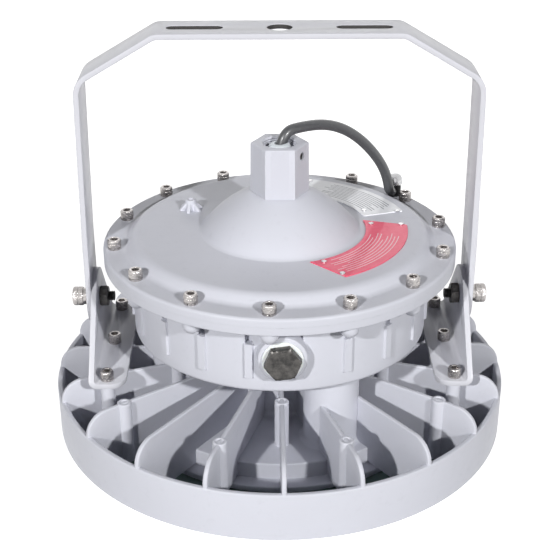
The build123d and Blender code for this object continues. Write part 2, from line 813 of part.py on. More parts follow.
# Bent brackets: a foot on the casting and an ear for the bail's bolt
with BuildPart() as bracket_right:
    with BuildSketch(Plane.XY.offset(fin_top)):
        with Locations((bracket_inner, 0)):
            foot = Rectangle(ear_outer - bracket_inner, bracket_length, align=(Align.MIN, Align.CENTER))
        fillet(foot.vertices().group_by(Axis.X)[0], bracket_corner)
    extrude(amount=bracket_thickness)
    with BuildSketch(Plane.YZ.offset(ear_inner)):
        with Locations((0, pivot_height)):
            Circle(ear_radius)
        with Locations((0, fin_top)):
            Rectangle(2 * ear_base, 2 * bracket_thickness, align=(Align.CENTER, Align.MIN))
        make_hull()
    extrude(amount=bracket_thickness)
    inside_bend = bracket_right.edges().filter_by(Axis.Y).filter_by_position(
        Axis.X, ear_inner - seat_play, ear_inner + seat_play
    ).filter_by_position(Axis.Z, foot_top - seat_play, foot_top + seat_play)
    fillet(inside_bend, bracket_bend)
    outside_bend = bracket_right.edges().filter_by(Axis.Y).group_by(Axis.Z)[0].sort_by(Axis.X)[-1]
    fillet(outside_bend, bracket_bend + bracket_thickness - root)
    with Locations(Plane.XY.offset(foot_top)):
        with Locations((foot_screw_x, -foot_screw_y), (foot_screw_x, 0), (foot_screw_x, foot_screw_y)):
            Hole(m6 + screw_play, bracket_thickness)
    with Locations(Plane(origin=(ear_outer, 0, pivot_height), z_dir=(1, 0, 0))):
        Hole(m8 + pivot_play, bracket_thickness)
finish(bracket_right, "bracket_right")

with BuildPart() as bracket_left:
    mirror(bracket_right.part, about=Plane.YZ)
finish(bracket_left, "bracket_left")

foot_places = [(side * foot_screw_x, row * foot_screw_y) for side in (-1, 1) for row in (-1, 0, 1)]
with BuildPart() as bracket_screws:
    with Locations(Plane.XY.offset(foot_top + m6_spring)):
        with Locations(*foot_places):
            add(m6_screw)
finish(bracket_screws, "bracket_screws")

with BuildPart() as bracket_spring_washers:
    with Locations(Plane.XY.offset(foot_top)):
        with Locations(*foot_places):
            add(m6_washer)
finish(bracket_spring_washers, "bracket_spring_washers")

# Bail: one flat strap bent over the lamp, cut round at its ends by its side view
leg_middle = bail_half_width - bail_thickness / 2
shoulder_middle = bail_shoulder_half_width - bail_thickness / 2
top_middle = bail_height - bail_thickness / 2
slope_drop = bail_thickness / 2 * (1 / cos(radians(bail_slope)) - 1)
slope_start = bail_flat - slope_drop / tan(radians(bail_slope))
shoulder_height = top_middle - (shoulder_middle - slope_start) * tan(radians(bail_slope))
half_strap = [
    (slope_start, top_middle),
    (shoulder_middle, shoulder_height),
    (leg_middle, pivot_height + bail_straight),
    (leg_middle, pivot_height - bail_width),
]
strap_points = [(-x, z) for x, z in reversed(half_strap)] + half_strap
half_bends = [bail_top_bend, bail_shoulder_bend, bail_straight]
with BuildPart() as bail:
    with BuildSketch(Plane.XZ):
        with BuildLine():
            strap = FilletPolyline(*strap_points, radius=half_bends[::-1] + half_bends)
        trace(strap, bail_thickness)
    extrude(amount=bail_width / 2, both=True)
    with BuildSketch(Plane.YZ):
        with Locations((0, pivot_height)):
            Circle(bail_width / 2)
            Rectangle(bail_width, bail_height, align=(Align.CENTER, Align.MIN))
    extrude(amount=bail_half_width + bail_thickness, both=True, mode=Mode.INTERSECT)
    with BuildSketch(Plane.XY.offset(bail_height)):
        with Locations((bail_slot_centre, 0), (-bail_slot_centre, 0)):
            SlotOverall(bail_slot_length, bail_slot_width)
        Circle(bail_centre_hole)
    extrude(amount=-2 * bail_thickness, mode=Mode.SUBTRACT)
    with BuildSketch(Plane.YZ):
        with Locations((0, pivot_height)):
            Circle(m8 + pivot_play)
    extrude(amount=bail_half_width + bail_thickness, both=True, mode=Mode.SUBTRACT)
finish(bail, "bail")

# Clamp bolts of the bail, from the head inwards
washer_start = bail_half_width + axial_play
spring_start = washer_start + m8_washer_thickness
head_start = spring_start + m8_spring
nut_start = ear_inner - m8_nut_height
bolt_length = head_start - nut_start + pivot_stub
right_bolt_seat = Plane(origin=(head_start, 0, pivot_height), z_dir=(1, 0, 0))
right_spring_seat = Plane(origin=(spring_start, 0, pivot_height), z_dir=(1, 0, 0))
m8_bolt = cap_screw(m8, m8_head, m8_head_height, m8_key, bolt_length)
m8_washer = spring_washer(m8 + seat_play, m8_head, m8_spring)

with BuildPart() as pivot_bolts:
    with Locations(right_bolt_seat):
        add(m8_bolt)
    mirror(about=Plane.YZ)
finish(pivot_bolts, "pivot_bolts")

with BuildPart() as pivot_spring_washers:
    with Locations(right_spring_seat):
        add(m8_washer)
    mirror(about=Plane.YZ)
finish(pivot_spring_washers, "pivot_spring_washers")

with BuildPart() as pivot_flat_washers:
    with BuildSketch(Plane.YZ.offset(washer_start)):
        with Locations((0, pivot_height)):
            Circle(m8_washer_radius)
            Circle(m8 + seat_play, mode=Mode.SUBTRACT)
    extrude(amount=m8_washer_thickness)
    mirror(about=Plane.YZ)
finish(pivot_flat_washers, "pivot_flat_washers")

with BuildPart() as pivot_nuts:
    with BuildSketch(Plane.YZ.offset(nut_start)):
        with Locations((0, pivot_height)):
            RegularPolygon(m8_nut_flats / 2, 6, major_radius=False)
            Circle(m8 + thread_play, mode=Mode.SUBTRACT)
    extrude(amount=m8_nut_height)
    mirror(about=Plane.YZ)
finish(pivot_nuts, "pivot_nuts")
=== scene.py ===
from math import acos, atan2, cos, degrees, pi, radians, sin, tan

import bmesh
import bpy
from mathutils import Matrix, Vector


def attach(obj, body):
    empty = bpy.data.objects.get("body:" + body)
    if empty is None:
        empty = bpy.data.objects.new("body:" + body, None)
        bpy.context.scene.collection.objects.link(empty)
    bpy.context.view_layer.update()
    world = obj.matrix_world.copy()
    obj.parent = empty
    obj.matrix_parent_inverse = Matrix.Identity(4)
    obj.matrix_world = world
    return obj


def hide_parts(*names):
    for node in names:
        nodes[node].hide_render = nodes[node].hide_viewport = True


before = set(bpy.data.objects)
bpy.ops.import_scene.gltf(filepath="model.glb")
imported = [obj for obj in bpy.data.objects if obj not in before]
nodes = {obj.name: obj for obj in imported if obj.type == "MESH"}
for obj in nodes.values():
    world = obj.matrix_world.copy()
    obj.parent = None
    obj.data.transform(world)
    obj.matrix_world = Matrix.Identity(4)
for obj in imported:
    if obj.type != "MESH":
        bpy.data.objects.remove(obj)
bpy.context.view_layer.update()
mm = 0.001

# The finned casting is one piece of die-cast aluminium: a disc over the light source, twenty fins that run
# out to a thin outer ring, screw bosses on the fins and three pillars for the driver box. It is powder
# coated pale grey.


class Wire:
    """An output socket that takes part in sums: each operator adds a Math node."""

    def __init__(self, shader, socket):
        self.shader = shader
        self.socket = socket

    def maths(self, operation, first, second):
        return self.shader.node("ShaderNodeMath", {"operation": operation}, {0: first, 1: second})

    def __add__(self, other):
        return self.maths("ADD", self, other)

    def __sub__(self, other):
        return self.maths("SUBTRACT", self, other)

    def __mul__(self, other):
        return self.maths("MULTIPLY", self, other)

    def __truediv__(self, other):
        return self.maths("DIVIDE", self, other)

    def __gt__(self, other):
        return self.maths("GREATER_THAN", self, other)

    def __lt__(self, other):
        return self.maths("LESS_THAN", self, other)


class Finish:
    """A material with one Principled shader, built node by node."""

    def __init__(self, name, **fixed):
        self.material = bpy.data.materials.new(name)
        self.material.use_nodes = True
        self.tree = self.material.node_tree
        self.surface = self.tree.nodes["Principled BSDF"]
        for socket, value in fixed.items():
            self.surface.inputs[socket.replace("_", " ").title().replace("Ior", "IOR")].default_value = value

    def node(self, kind, settings=None, sockets=None, out=0):
        """Adds a node, makes its settings first, then sets or links its inputs, and gives back one output."""
        node = self.tree.nodes.new(kind)
        for name, value in (settings or {}).items():
            setattr(node, name, value)
        for name, value in (sockets or {}).items():
            if isinstance(value, Wire):
                self.tree.links.new(value.socket, node.inputs[name])
            else:
                node.inputs[name].default_value = value
        return Wire(self, node.outputs[out])

    def place(self):
        """Object coordinates, in metres from the lamp's own origin."""
        return self.node("ShaderNodeTexCoord", out="Object")

    def noise(self, scale, detail=3.0, roughness=0.5):
        sockets = {"Vector": self.place(), "Scale": scale, "Detail": detail, "Roughness": roughness}
        return self.node("ShaderNodeTexNoise", {}, sockets)

    def spread(self, value, low, high, to_low=0.0, to_high=1.0):
        """Maps a range of a value to another, clamped at both ends."""
        sockets = {"Value": value, "From Min": low, "From Max": high, "To Min": to_low, "To Max": to_high}
        return self.node("ShaderNodeMapRange", {"clamp": True}, sockets)

    def blend(self, mask, first, second):
        """Mixes two colours by a mask."""
        return self.node("ShaderNodeMix", {"data_type": "RGBA"}, {0: mask, 6: first, 7: second}, out=2)

    def bump(self, height, strength, distance, normal=None):
        sockets = {"Height": height, "Strength": strength, "Distance": distance}
        if normal is not None:
            sockets["Normal"] = normal
        return self.node("ShaderNodeBump", {}, sockets)

    def connect(self, socket, wire):
        self.tree.links.new(wire.socket, self.surface.inputs[socket])
        return self


def speckled(name, first, second, noise, bump=None, **fixed):
    """A finish of two close shades mixed by fine noise. Its grain is a strength and a depth."""
    finish = Finish(name, **fixed)
    grain = finish.noise(*noise)
    finish.connect("Base Color", finish.blend(grain, first, second))
    if bump:
        finish.connect("Normal", finish.bump(grain, *bump))
    return finish.material


def scaled(shade, factor, lift=0.0):
    """A colour made darker or lighter."""
    return tuple(min(1.0, channel * factor + lift) for channel in shade[:3]) + (1.0,)


def powder_coat(name, shade, peel, corner, gloss=0.0, dirt=0.5):
    """Powder coat: an even pale grey with a faint orange peel, a breath of dust and softened corners."""
    paint = Finish(name, roughness=0.42, specular_ior_level=0.22, coat_weight=0.04, coat_roughness=0.25)
    drift = paint.noise(9.0, 4.0, 0.6)
    dust = paint.noise(140.0, 5.0, 0.65)
    tone = paint.blend(paint.spread(drift, 0.35, 0.7, 0.0, 0.55), shade, scaled(shade, 0.93))
    tone = paint.blend(paint.spread(dust, 0.58, 0.78, 0.0, dirt), tone, scaled(shade, 0.88))
    paint.connect("Base Color", tone)
    paint.connect("Roughness", paint.spread(dust, 0.3, 0.7, 0.36 - gloss, 0.5 - gloss))
    softened = paint.node("ShaderNodeBevel", {"samples": 4}, {"Radius": corner})
    skin = paint.noise(900.0, 2.0, 0.4)
    paint.connect("Normal", paint.bump(skin, 0.12, peel, softened))
    return paint.material


cast_paint = powder_coat("cast_powder_coat", (0.60, 0.608, 0.665, 1.0), 0.25 * mm, 0.35 * mm)


def rounded(corners, steps=6, closed=True):
    """Rounds an outline's corners. A corner is (x, y) or (x, y, radius)."""
    points = []
    count = len(corners)
    for index, corner in enumerate(corners):
        here = Vector(corner[:2])
        radius = corner[2] if len(corner) > 2 else 0.0
        ends = not closed and index in (0, count - 1)
        if radius == 0.0 or ends:
            points.append(tuple(here))
            continue
        back = (Vector(corners[index - 1][:2]) - here).normalized()
        ahead = (Vector(corners[(index + 1) % count][:2]) - here).normalized()
        half = back.angle(ahead) / 2
        centre = here + (back + ahead).normalized() * radius / sin(half)
        start = here + back * radius / tan(half) - centre
        finish = here + ahead * radius / tan(half) - centre
        turn = start.angle_signed(finish)
        for step in range(steps + 1):
            swung = Matrix.Rotation(-turn * step / steps, 2) @ start
            points.append(tuple(centre + swung))
    return points


def placed(name, data):
    """Puts an object with this data in the scene, at the origin."""
    thing = bpy.data.objects.new(name, data)
    bpy.context.scene.collection.objects.link(thing)
    return thing


def smoothed(data, crease):
    """Shades a mesh smooth, with its edges sharp only past the crease angle."""
    data.polygons.foreach_set("use_smooth", [True] * len(data.polygons))
    data.set_sharp_from_angle(angle=radians(crease))


def finished(name, mesh, material, crease):
    """Makes a bmesh a smooth object of one material."""
    data = bpy.data.meshes.new(name)
    mesh.to_mesh(data)
    mesh.free()
    data.materials.append(material)
    smoothed(data, crease)
    return placed(name, data)


def solid(name, mesh, material, crease=32.0):
    """Closes a new mesh's seams, turns its faces outwards and makes it an object."""
    bmesh.ops.remove_doubles(mesh, verts=mesh.verts, dist=1e-6)
    bmesh.ops.recalc_face_normals(mesh, faces=mesh.faces)
    return finished(name, mesh, material, crease)


def skin_rings(mesh, rings, closed=False):
    """Joins a stack of rings, each a list of points or one pole, with faces."""
    loops = [[mesh.verts.new(point) for point in ring] for ring in rings]
    pairs = list(zip(loops, loops[1:]))
    if closed:
        pairs.append((loops[-1], loops[0]))
    for low, high in pairs:
        count = max(len(low), len(high))
        for step in range(count):
            after = (step + 1) % count
            if len(low) == 1:
                mesh.faces.new((low[0], high[step], high[after]))
            elif len(high) == 1:
                mesh.faces.new((low[step], low[after], high[0]))
            else:
                mesh.faces.new((low[step], low[after], high[after], high[step]))


def turned_ring(radius, height, steps):
    """One ring of a turned shape. Its radius may be a function of the angle, and zero gives a pole."""
    if radius == 0.0:
        return [(0.0, 0.0, height)]
    points = []
    for step in range(steps):
        angle = 2 * pi * step / steps
        reach = radius(angle) if callable(radius) else radius
        points.append((reach * cos(angle), reach * sin(angle), height))
    return points


def turned(name, outline, material, steps=180, closed=False, crease=32.0, arc=0):
    """Turns an outline of (radius, height) points about the Z axis, with rounded corners of arc steps."""
    mesh = bmesh.new()
    if arc:
        outline = rounded(outline, arc, closed)
    skin_rings(mesh, [turned_ring(radius, height, steps) for radius, height in outline], closed)
    return solid(name, mesh, material, crease)


def rectangle(left, low, right, high):
    """The four corners of an upright rectangle."""
    return [(left, low), (right, low), (right, high), (left, high)]


def rod(name, radius, low, high, material, steps=32):
    """A plain cylinder about the Z axis, to cut a round hole with."""
    return turned(name, rectangle(0.0, low, radius, high), material, steps)


def arc_points(x, y, radius, first, last, steps):
    """Points on an arc about (x, y), from a first angle to a last one in radians."""
    angles = [first + (last - first) * step / steps for step in range(steps + 1)]
    return [(x + radius * cos(angle), y + radius * sin(angle)) for angle in angles]


def bevelled(mesh, sharp, edge, segments):
    """Rounds some of a mesh's edges."""
    bmesh.ops.bevel(
        mesh, geom=sharp, offset=edge, segments=segments, profile=0.5, affect="EDGES", clamp_overlap=True
    )


def plate(name, outline, low, high, material, edge=0.0, segments=2, plane="XY"):
    """A flat shape of even thickness from an outline, with its edges rounded by a bevel."""
    mesh = bmesh.new()
    lifts = {
        "XY": lambda x, y, t: (x, y, t),
        "XZ": lambda x, y, t: (x, t, y),
        "YZ": lambda x, y, t: (t, x, y),
    }
    lift = lifts[plane]
    for level in (low, high):
        mesh.faces.new([mesh.verts.new(lift(x, y, level)) for x, y in outline])
    lower, upper = mesh.faces
    count = len(outline)
    low_verts, high_verts = list(lower.verts), list(upper.verts)
    for step in range(count):
        after = (step + 1) % count
        mesh.faces.new((low_verts[step], low_verts[after], high_verts[after], high_verts[step]))
    bmesh.ops.recalc_face_normals(mesh, faces=mesh.faces)
    if edge:
        sharp = [e for e in mesh.edges if e.calc_face_angle(0.0) > radians(40)]
        bevelled(mesh, sharp, edge, segments)
    return solid(name, mesh, material)


def gathered(name, parts, material, crease=32.0):
    """Puts several finished parts of one casting into a single object."""
    mesh = bmesh.new()
    for part in parts:
        mesh.from_mesh(part.data)
        bpy.data.objects.remove(part)
    return finished(name, mesh, material, crease)


def copying_tree(name, inputs, extra, links):
    """Geometry nodes that stand copies of an object on points, raise them and give them a material.

    The inputs, the extra nodes that make the points and the links between them differ from tree to tree.
    """
    tree = bpy.data.node_groups.new(name, "GeometryNodeTree")
    for label, kind in {"Copied Piece": "Object", **inputs, "Height": "Float", "Finish": "Material"}.items():
        tree.interface.new_socket(label, in_out="INPUT", socket_type="NodeSocket" + kind)
    tree.interface.new_socket("Geometry", in_out="OUTPUT", socket_type="NodeSocketGeometry")
    kinds = {
        "given": "NodeGroupInput",
        "copied": "GeometryNodeObjectInfo",
        "stand": "GeometryNodeInstanceOnPoints",
        "rise": "ShaderNodeCombineXYZ",
        "move": "GeometryNodeTransform",
        "real": "GeometryNodeRealizeInstances",
        "coat": "GeometryNodeSetMaterial",
        "result": "NodeGroupOutput",
        **extra,
    }
    made = {label: tree.nodes.new(kind) for label, kind in kinds.items()}
    for source, output, target, entry in (
        ("given", "Copied Piece", "copied", "Object"),
        ("copied", "Geometry", "stand", "Instance"),
        ("stand", "Instances", "move", "Geometry"),
        ("given", "Height", "rise", "Z"),
        ("rise", 0, "move", "Translation"),
        ("move", "Geometry", "real", "Geometry"),
        ("real", "Geometry", "coat", "Geometry"),
        ("given", "Finish", "coat", "Material"),
        ("coat", "Geometry", "result", "Geometry"),
        *links,
    ):
        tree.links.new(made[source].outputs[output], made[target].inputs[entry])
    return tree, made


# Copies round the Z axis, each turned to face outwards.
round_the_axis, wheel_nodes = copying_tree(
    "stand_round_the_axis",
    {"Count": "Int", "Radius": "Float", "First Angle": "Float"},
    {
        "circle": "GeometryNodeMeshCircle",
        "index": "GeometryNodeInputIndex",
        "share": "ShaderNodeMath",
        "angle": "ShaderNodeMath",
        "turn": "ShaderNodeCombineXYZ",
        "swing": "ShaderNodeCombineXYZ",
    },
    (
        ("given", "Count", "circle", "Vertices"),
        ("given", "Radius", "circle", "Radius"),
        ("circle", "Mesh", "stand", "Points"),
        ("index", 0, "share", 0),
        ("given", "Count", "share", 1),
        ("share", 0, "angle", 0),
        ("angle", 0, "turn", "Z"),
        ("turn", 0, "stand", "Rotation"),
        ("given", "First Angle", "swing", "Z"),
        ("swing", 0, "move", "Rotation"),
    ),
)
wheel_nodes["share"].operation = "DIVIDE"
wheel_nodes["angle"].operation = "MULTIPLY"
wheel_nodes["angle"].inputs[1].default_value = 2 * pi


def applied(piece):
    """Makes the result of a piece's modifiers its plain mesh, and removes them."""
    bpy.context.view_layer.update()
    evaluated = piece.evaluated_get(bpy.context.evaluated_depsgraph_get())
    data = bpy.data.meshes.new_from_object(evaluated)
    piece.modifiers.clear()
    piece.data = data


def grown(name, tree, material, **inputs):
    """Runs a tree of geometry nodes with its named inputs and keeps the result as a plain mesh."""
    carrier = placed(name, bpy.data.meshes.new(name))
    modifier = carrier.modifiers.new("growth", "NODES")
    modifier.node_group = tree
    inputs["finish"] = material
    for item in tree.interface.items_tree:
        key = item.name.lower().replace(" ", "_")
        if item.in_out == "INPUT" and key in inputs:
            modifier[item.identifier] = inputs[key]
    applied(carrier)
    carrier.data.name = name
    return carrier


def copies(name, tree, material, piece, **inputs):
    """Makes copies of a piece with a tree of geometry nodes, and removes the piece itself."""
    made = grown(name, tree, material, copied_piece=piece, **inputs)
    bpy.data.objects.remove(piece)
    return made


def wheel(name, piece, count, material, radius=0.0, first_azimuth=0.0, height=0.0):
    """Stands copies of a piece round the lamp. An azimuth counts from -Y towards +X."""
    places = {"count": count, "radius": radius, "first_angle": radians(first_azimuth - 90), "height": height}
    return copies(name, round_the_axis, material, piece, **places)


def on_circle(radius, azimuth, height=0.0):
    """The point at a radius and an azimuth counted from -Y towards +X."""
    return Vector((radius * sin(radians(azimuth)), -radius * cos(radians(azimuth)), height))


def shifted(piece, move=(0.0, 0.0, 0.0), turn=None):
    """Turns and moves a part's mesh, so that its object stays at the origin."""
    if turn is not None:
        piece.data.transform(turn)
    piece.data.transform(Matrix.Translation(move))
    return piece


ring_radius = 175.0 * mm
ring_height = 37.6 * mm
ring_inner = 171.0 * mm
fin_count = 20
fin_pitch = 360 / fin_count
fin_half = 1.75 * mm
fin_top = 55.0 * mm
fin_bottom = 5.6 * mm
fin_shoulder = 17.0 * mm
core_radius = 45.0 * mm
disc_radius = 110.6 * mm
disc_top = 18.0 * mm
disc_underside = 13.5 * mm
boss_radius = 5.25 * mm
pillar_top = 78.7 * mm
pillar_circle = 81.0 * mm
pillar_radius = 20.5 * mm
pillar_azimuth = 27.0
bezel_top = 5.3 * mm
glass_seat = 101.0 * mm
gasket_inner = 94.0 * mm
gasket_top = 9.8 * mm

casting = [
    turned(
        "disc",
        [
            (0.0, disc_underside), (gasket_inner, disc_underside), (gasket_inner, gasket_top),
            (glass_seat, gasket_top), (glass_seat, bezel_top), (disc_radius, bezel_top),
            (disc_radius, disc_top, 1.2 * mm), (core_radius, disc_top, 4.0 * mm),
            (core_radius, fin_top, 1.0 * mm), (0.0, fin_top),
        ],
        cast_paint, arc=6,
    ),
    turned(
        "outer_ring",
        [
            (ring_inner, 0.0, 0.8 * mm), (ring_radius, 0.0, 1.0 * mm), (ring_radius, ring_height, 1.1 * mm),
            (ring_inner, ring_height, 1.1 * mm),
        ],
        cast_paint, steps=240, closed=True, arc=4,
    ),
]
fin_outline = rounded(
    [
        (core_radius - 2 * mm, fin_top), (core_radius - 2 * mm, disc_top - 1 * mm),
        (disc_radius - 1 * mm, disc_top - 1 * mm), (disc_radius - 1 * mm, fin_bottom),
        (ring_inner + 1 * mm, fin_bottom), (ring_inner + 1 * mm, ring_height - 1.2 * mm),
        (ring_radius - 0.7 * mm, ring_height - 1.2 * mm), (ring_radius - 0.7 * mm, fin_top, fin_shoulder),
    ],
    steps=14,
)
fin = plate("fin", fin_outline, -fin_half, fin_half, cast_paint, edge=1.1 * mm, segments=3, plane="XZ")
casting.append(wheel("fins", fin, fin_count, cast_paint))


def boss(top, bottom, radius=boss_radius):
    """A round screw boss with a shallow dimple where the drill would start."""
    return turned(
        "boss",
        [
            (0.0, bottom), (radius, bottom), (radius, top, 0.9 * mm), (0.62 * radius, top, 0.4 * mm),
            (0.55 * radius, top - 0.7 * mm, 0.2 * mm), (0.0, top - 0.8 * mm),
        ],
        cast_paint, steps=40, arc=3,
    )


inner_boss_circle = 83.8 * mm
outer_boss_circle = 142.2 * mm
foot_x, foot_y = 130.0 * mm, 57.0 * mm
for side in (-1, 1):
    for step in (1, 3, 7, 9):
        place = on_circle(outer_boss_circle, side * step * fin_pitch)
        casting.append(shifted(boss(fin_top + 0.3 * mm, fin_bottom), place))
    for row in (-1, 0, 1):
        casting.append(shifted(boss(fin_top - 0.05 * mm, fin_bottom), (side * foot_x, row * foot_y, 0.0)))
inner_boss = boss(fin_top + 0.3 * mm, disc_top - 1 * mm)
casting.append(wheel("inner_bosses", inner_boss, 5, cast_paint, radius=inner_boss_circle))
web_half = 1.75 * mm
web_length = 14.5 * mm
web_outline = rectangle(-web_half, -web_length, web_half, 0.0)
for side in (-1, 1):
    for row in (-1, 1):
        web = plate("web", web_outline, fin_bottom, fin_top - 0.1 * mm, cast_paint, edge=0.6 * mm)
        shifted(web, (foot_x, foot_y, 0.0), Matrix.Rotation(radians(fin_pitch), 4, "Z"))
        web.data.transform(Matrix.Diagonal((side, row, 1.0, 1.0)))
        if side * row < 0:
            web.data.flip_normals()
        casting.append(web)
pillar = turned(
    "pillar",
    [
        (0.0, disc_top - 1 * mm), (pillar_radius + 6 * mm, disc_top - 1 * mm),
        (pillar_radius + 6 * mm, disc_top - 0.2 * mm), (pillar_radius, disc_top - 0.2 * mm, 5 * mm),
        (pillar_radius, pillar_top, 1 * mm), (0.0, pillar_top),
    ],
    cast_paint, steps=72, arc=6,
)
casting.append(wheel("pillars", pillar, 3, cast_paint, radius=pillar_circle, first_azimuth=pillar_azimuth))
heat_sink = gathered("finned_casting", casting, cast_paint)
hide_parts("heat_sink", "heat_sink_ring", "heat_sink_posts", "heat_sink_fins")
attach(heat_sink, "lamp")


# The bezel ring holds the toughened glass against its gasket under the casting. It is cast in the same
# aluminium and held by five countersunk screws from below.


def coat_nodes(material, *names):
    """Gives pieces that stay as the CAD has them their material."""
    for name in names:
        nodes[name].data.materials.clear()
        nodes[name].data.materials.append(material)


def zinc(name, shade, worn):
    """Bright zinc or stainless steel: fine turning marks, a little grease in patches, uneven polish."""
    steel = Finish(name, metallic=1.0)
    grain = steel.noise(1500.0, 3.0, 0.6)
    film = steel.noise(260.0, 4.0, 0.6)
    greasy = steel.spread(film, 0.45, 0.75, 0.0, worn)
    steel.connect("Base Color", steel.blend(greasy, shade, scaled(shade, 0.3)))
    steel.connect("Roughness", steel.spread(film, 0.3, 0.7, 0.16, 0.36))
    softened = steel.node("ShaderNodeBevel", {"samples": 4}, {"Radius": 0.25 * mm})
    steel.connect("Normal", steel.bump(grain, 0.25, 0.05 * mm, softened))
    return steel.material


zinc_steel = zinc("bright_zinc", (0.50, 0.475, 0.465, 1.0), 0.75)
coat_nodes(zinc_steel, "bezel_screws", "led_board_screws", "box_fixing_screws", "hub_washer")

bezel_inner, bezel_outer = 92.0 * mm, 121.5 * mm
bezel_bottom = 0.6 * mm
bezel_edge = 0.8 * mm
glass_bottom, glass_top = 2.2 * mm, 8.2 * mm
bezel = turned(
    "bezel",
    [
        (bezel_inner, bezel_bottom, bezel_edge), (bezel_outer, bezel_bottom, bezel_edge),
        (bezel_outer, bezel_top, bezel_edge), (glass_seat, bezel_top), (glass_seat, glass_bottom),
        (bezel_inner, glass_bottom, bezel_edge / 2),
    ],
    cast_paint, closed=True, arc=3,
)
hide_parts("bezel_ring")
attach(bezel, "lamp")


def rubber(name, shade, roughness):
    """Moulded rubber: matt, with a fine grain and a slight bloom."""
    gum = Finish(name, roughness=roughness, specular_ior_level=0.35)
    grain = gum.noise(700.0, 4.0, 0.6)
    bloom = gum.noise(60.0, 3.0, 0.5)
    lighter = scaled(shade, 1.35, 0.01)
    gum.connect("Base Color", gum.blend(gum.spread(bloom, 0.4, 0.75, 0.0, 0.5), shade, lighter))
    gum.connect("Roughness", gum.spread(grain, 0.3, 0.7, roughness - 0.08, roughness + 0.1))
    gum.connect("Normal", gum.bump(grain, 0.3, 0.1 * mm))
    return gum.material


black_rubber = rubber("black_rubber", (0.018, 0.018, 0.02, 1.0), 0.6)
coat_nodes(black_rubber, "glass_gasket", "pillar_seals", "cover_seal")

clear_glass = Finish("toughened_glass", ior=1.5, transmission_weight=1.0, base_color=(0.94, 0.98, 0.97, 1.0))
clear_glass.connect("Roughness", clear_glass.spread(clear_glass.noise(30.0), 0.3, 0.8, 0.01, 0.06))
glass_radius = 100.0 * mm
glass_edge = 0.8 * mm
lens = turned(
    "lens",
    [
        (0.0, glass_bottom), (glass_radius, glass_bottom, glass_edge), (glass_radius, glass_top, glass_edge),
        (0.0, glass_top),
    ],
    clear_glass.material, arc=3,
)
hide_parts("glass")
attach(lens, "lamp")


# The light source behind the glass is a round aluminium-cored board with a white mask. Its yellow LED
# packages are soldered on in two circles, and three screws hold it to the casting.
board_mask = Finish("white_solder_mask", roughness=0.35)
cells = {"Vector": board_mask.place(), "Scale": 90.0}
traces = board_mask.node("ShaderNodeTexVoronoi", {"feature": "DISTANCE_TO_EDGE"}, cells)
covered = board_mask.spread(traces, 0.02, 0.05)
board_mask.connect("Base Color", board_mask.blend(covered, (0.62, 0.64, 0.62, 1.0), (0.82, 0.83, 0.81, 1.0)))
board_mask.connect("Normal", board_mask.bump(covered, 0.5, 0.05 * mm))
coat_nodes(board_mask.material, "led_board")

pale_yellow, deep_yellow = (0.95, 0.78, 0.2, 1.0), (0.85, 0.62, 0.08, 1.0)
phosphor = speckled(
    "led_phosphor", deep_yellow, pale_yellow, (2200.0, 2.0, 0.5), roughness=0.3, coat_weight=0.5
)
chip_half, chip_height = 2.5 * mm, 1.0 * mm
board_bottom = 11.9 * mm
chips = []
square = rectangle(-chip_half, -chip_half, chip_half, chip_half)
for circle, count in ((24.0 * mm, 8), (50.0 * mm, 16)):
    chip = plate("chip", square, board_bottom - chip_height, board_bottom, phosphor, edge=0.4 * mm)
    chips.append(wheel("chips", chip, count, phosphor, radius=circle, first_azimuth=90.0))
led_chips = gathered("led_chips", chips, phosphor)
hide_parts("leds")
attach(led_chips, "lamp")


# The driver box is a cast bowl on the pillars. Its wall has twenty ribs with a pocket above each, round
# bosses under the flange for the cover's screws, and a turned boss in front for the spare cable entry.
box_bottom = 79.7 * mm
box_radius = 112.3 * mm
box_inner = 104.3 * mm
floor_top = 85.7 * mm
flange_bottom = 135.8 * mm
flange_top = 142.3 * mm
flange_radius = 132.85 * mm
rib_bottom = 91.0 * mm
rib_top = 118.0 * mm
rib_azimuth = 6.0
rib_proud = 1.8 * mm
rib_half = degrees(3.0 * mm / box_radius)
pocket_half = degrees(2.5 * mm / box_radius)
pocket_depth = 5.0 * mm
corner_play = 0.25


def wall_angles():
    """Angles round the wall, in degrees from -Y, with close pairs at each side of a rib and its pocket."""
    angles = []
    for rib in range(fin_count):
        middle = rib_azimuth + rib * fin_pitch
        for side in (-1, 1):
            rib_edges = [rib_half + corner_play, rib_half, rib_half - corner_play / 2]
            angles.extend(middle + side * edge for edge in (*rib_edges, pocket_half, pocket_half - 0.01))
        angles.extend(middle + fin_pitch * share / 10 for share in range(2, 9))
        angles.append(middle)
    return sorted(angle % 360 for angle in angles)


def wall_ring(height, kind, radius=box_radius):
    """One ring of the box's wall: plain, through the ribs, or through the pockets above them."""
    points = []
    for azimuth in wall_angles():
        off = abs((azimuth - rib_azimuth + fin_pitch / 2) % fin_pitch - fin_pitch / 2)
        reach = radius
        if kind == "rib" and off < rib_half - 0.02:
            reach = box_radius + rib_proud
        elif kind == "rib" and off < rib_half + 0.02:
            reach = box_radius + 0.7 * rib_proud
        elif kind == "pocket" and off < pocket_half - 0.005:
            reach = box_radius - pocket_depth
        points.append(tuple(on_circle(reach, azimuth, height)))
    return points


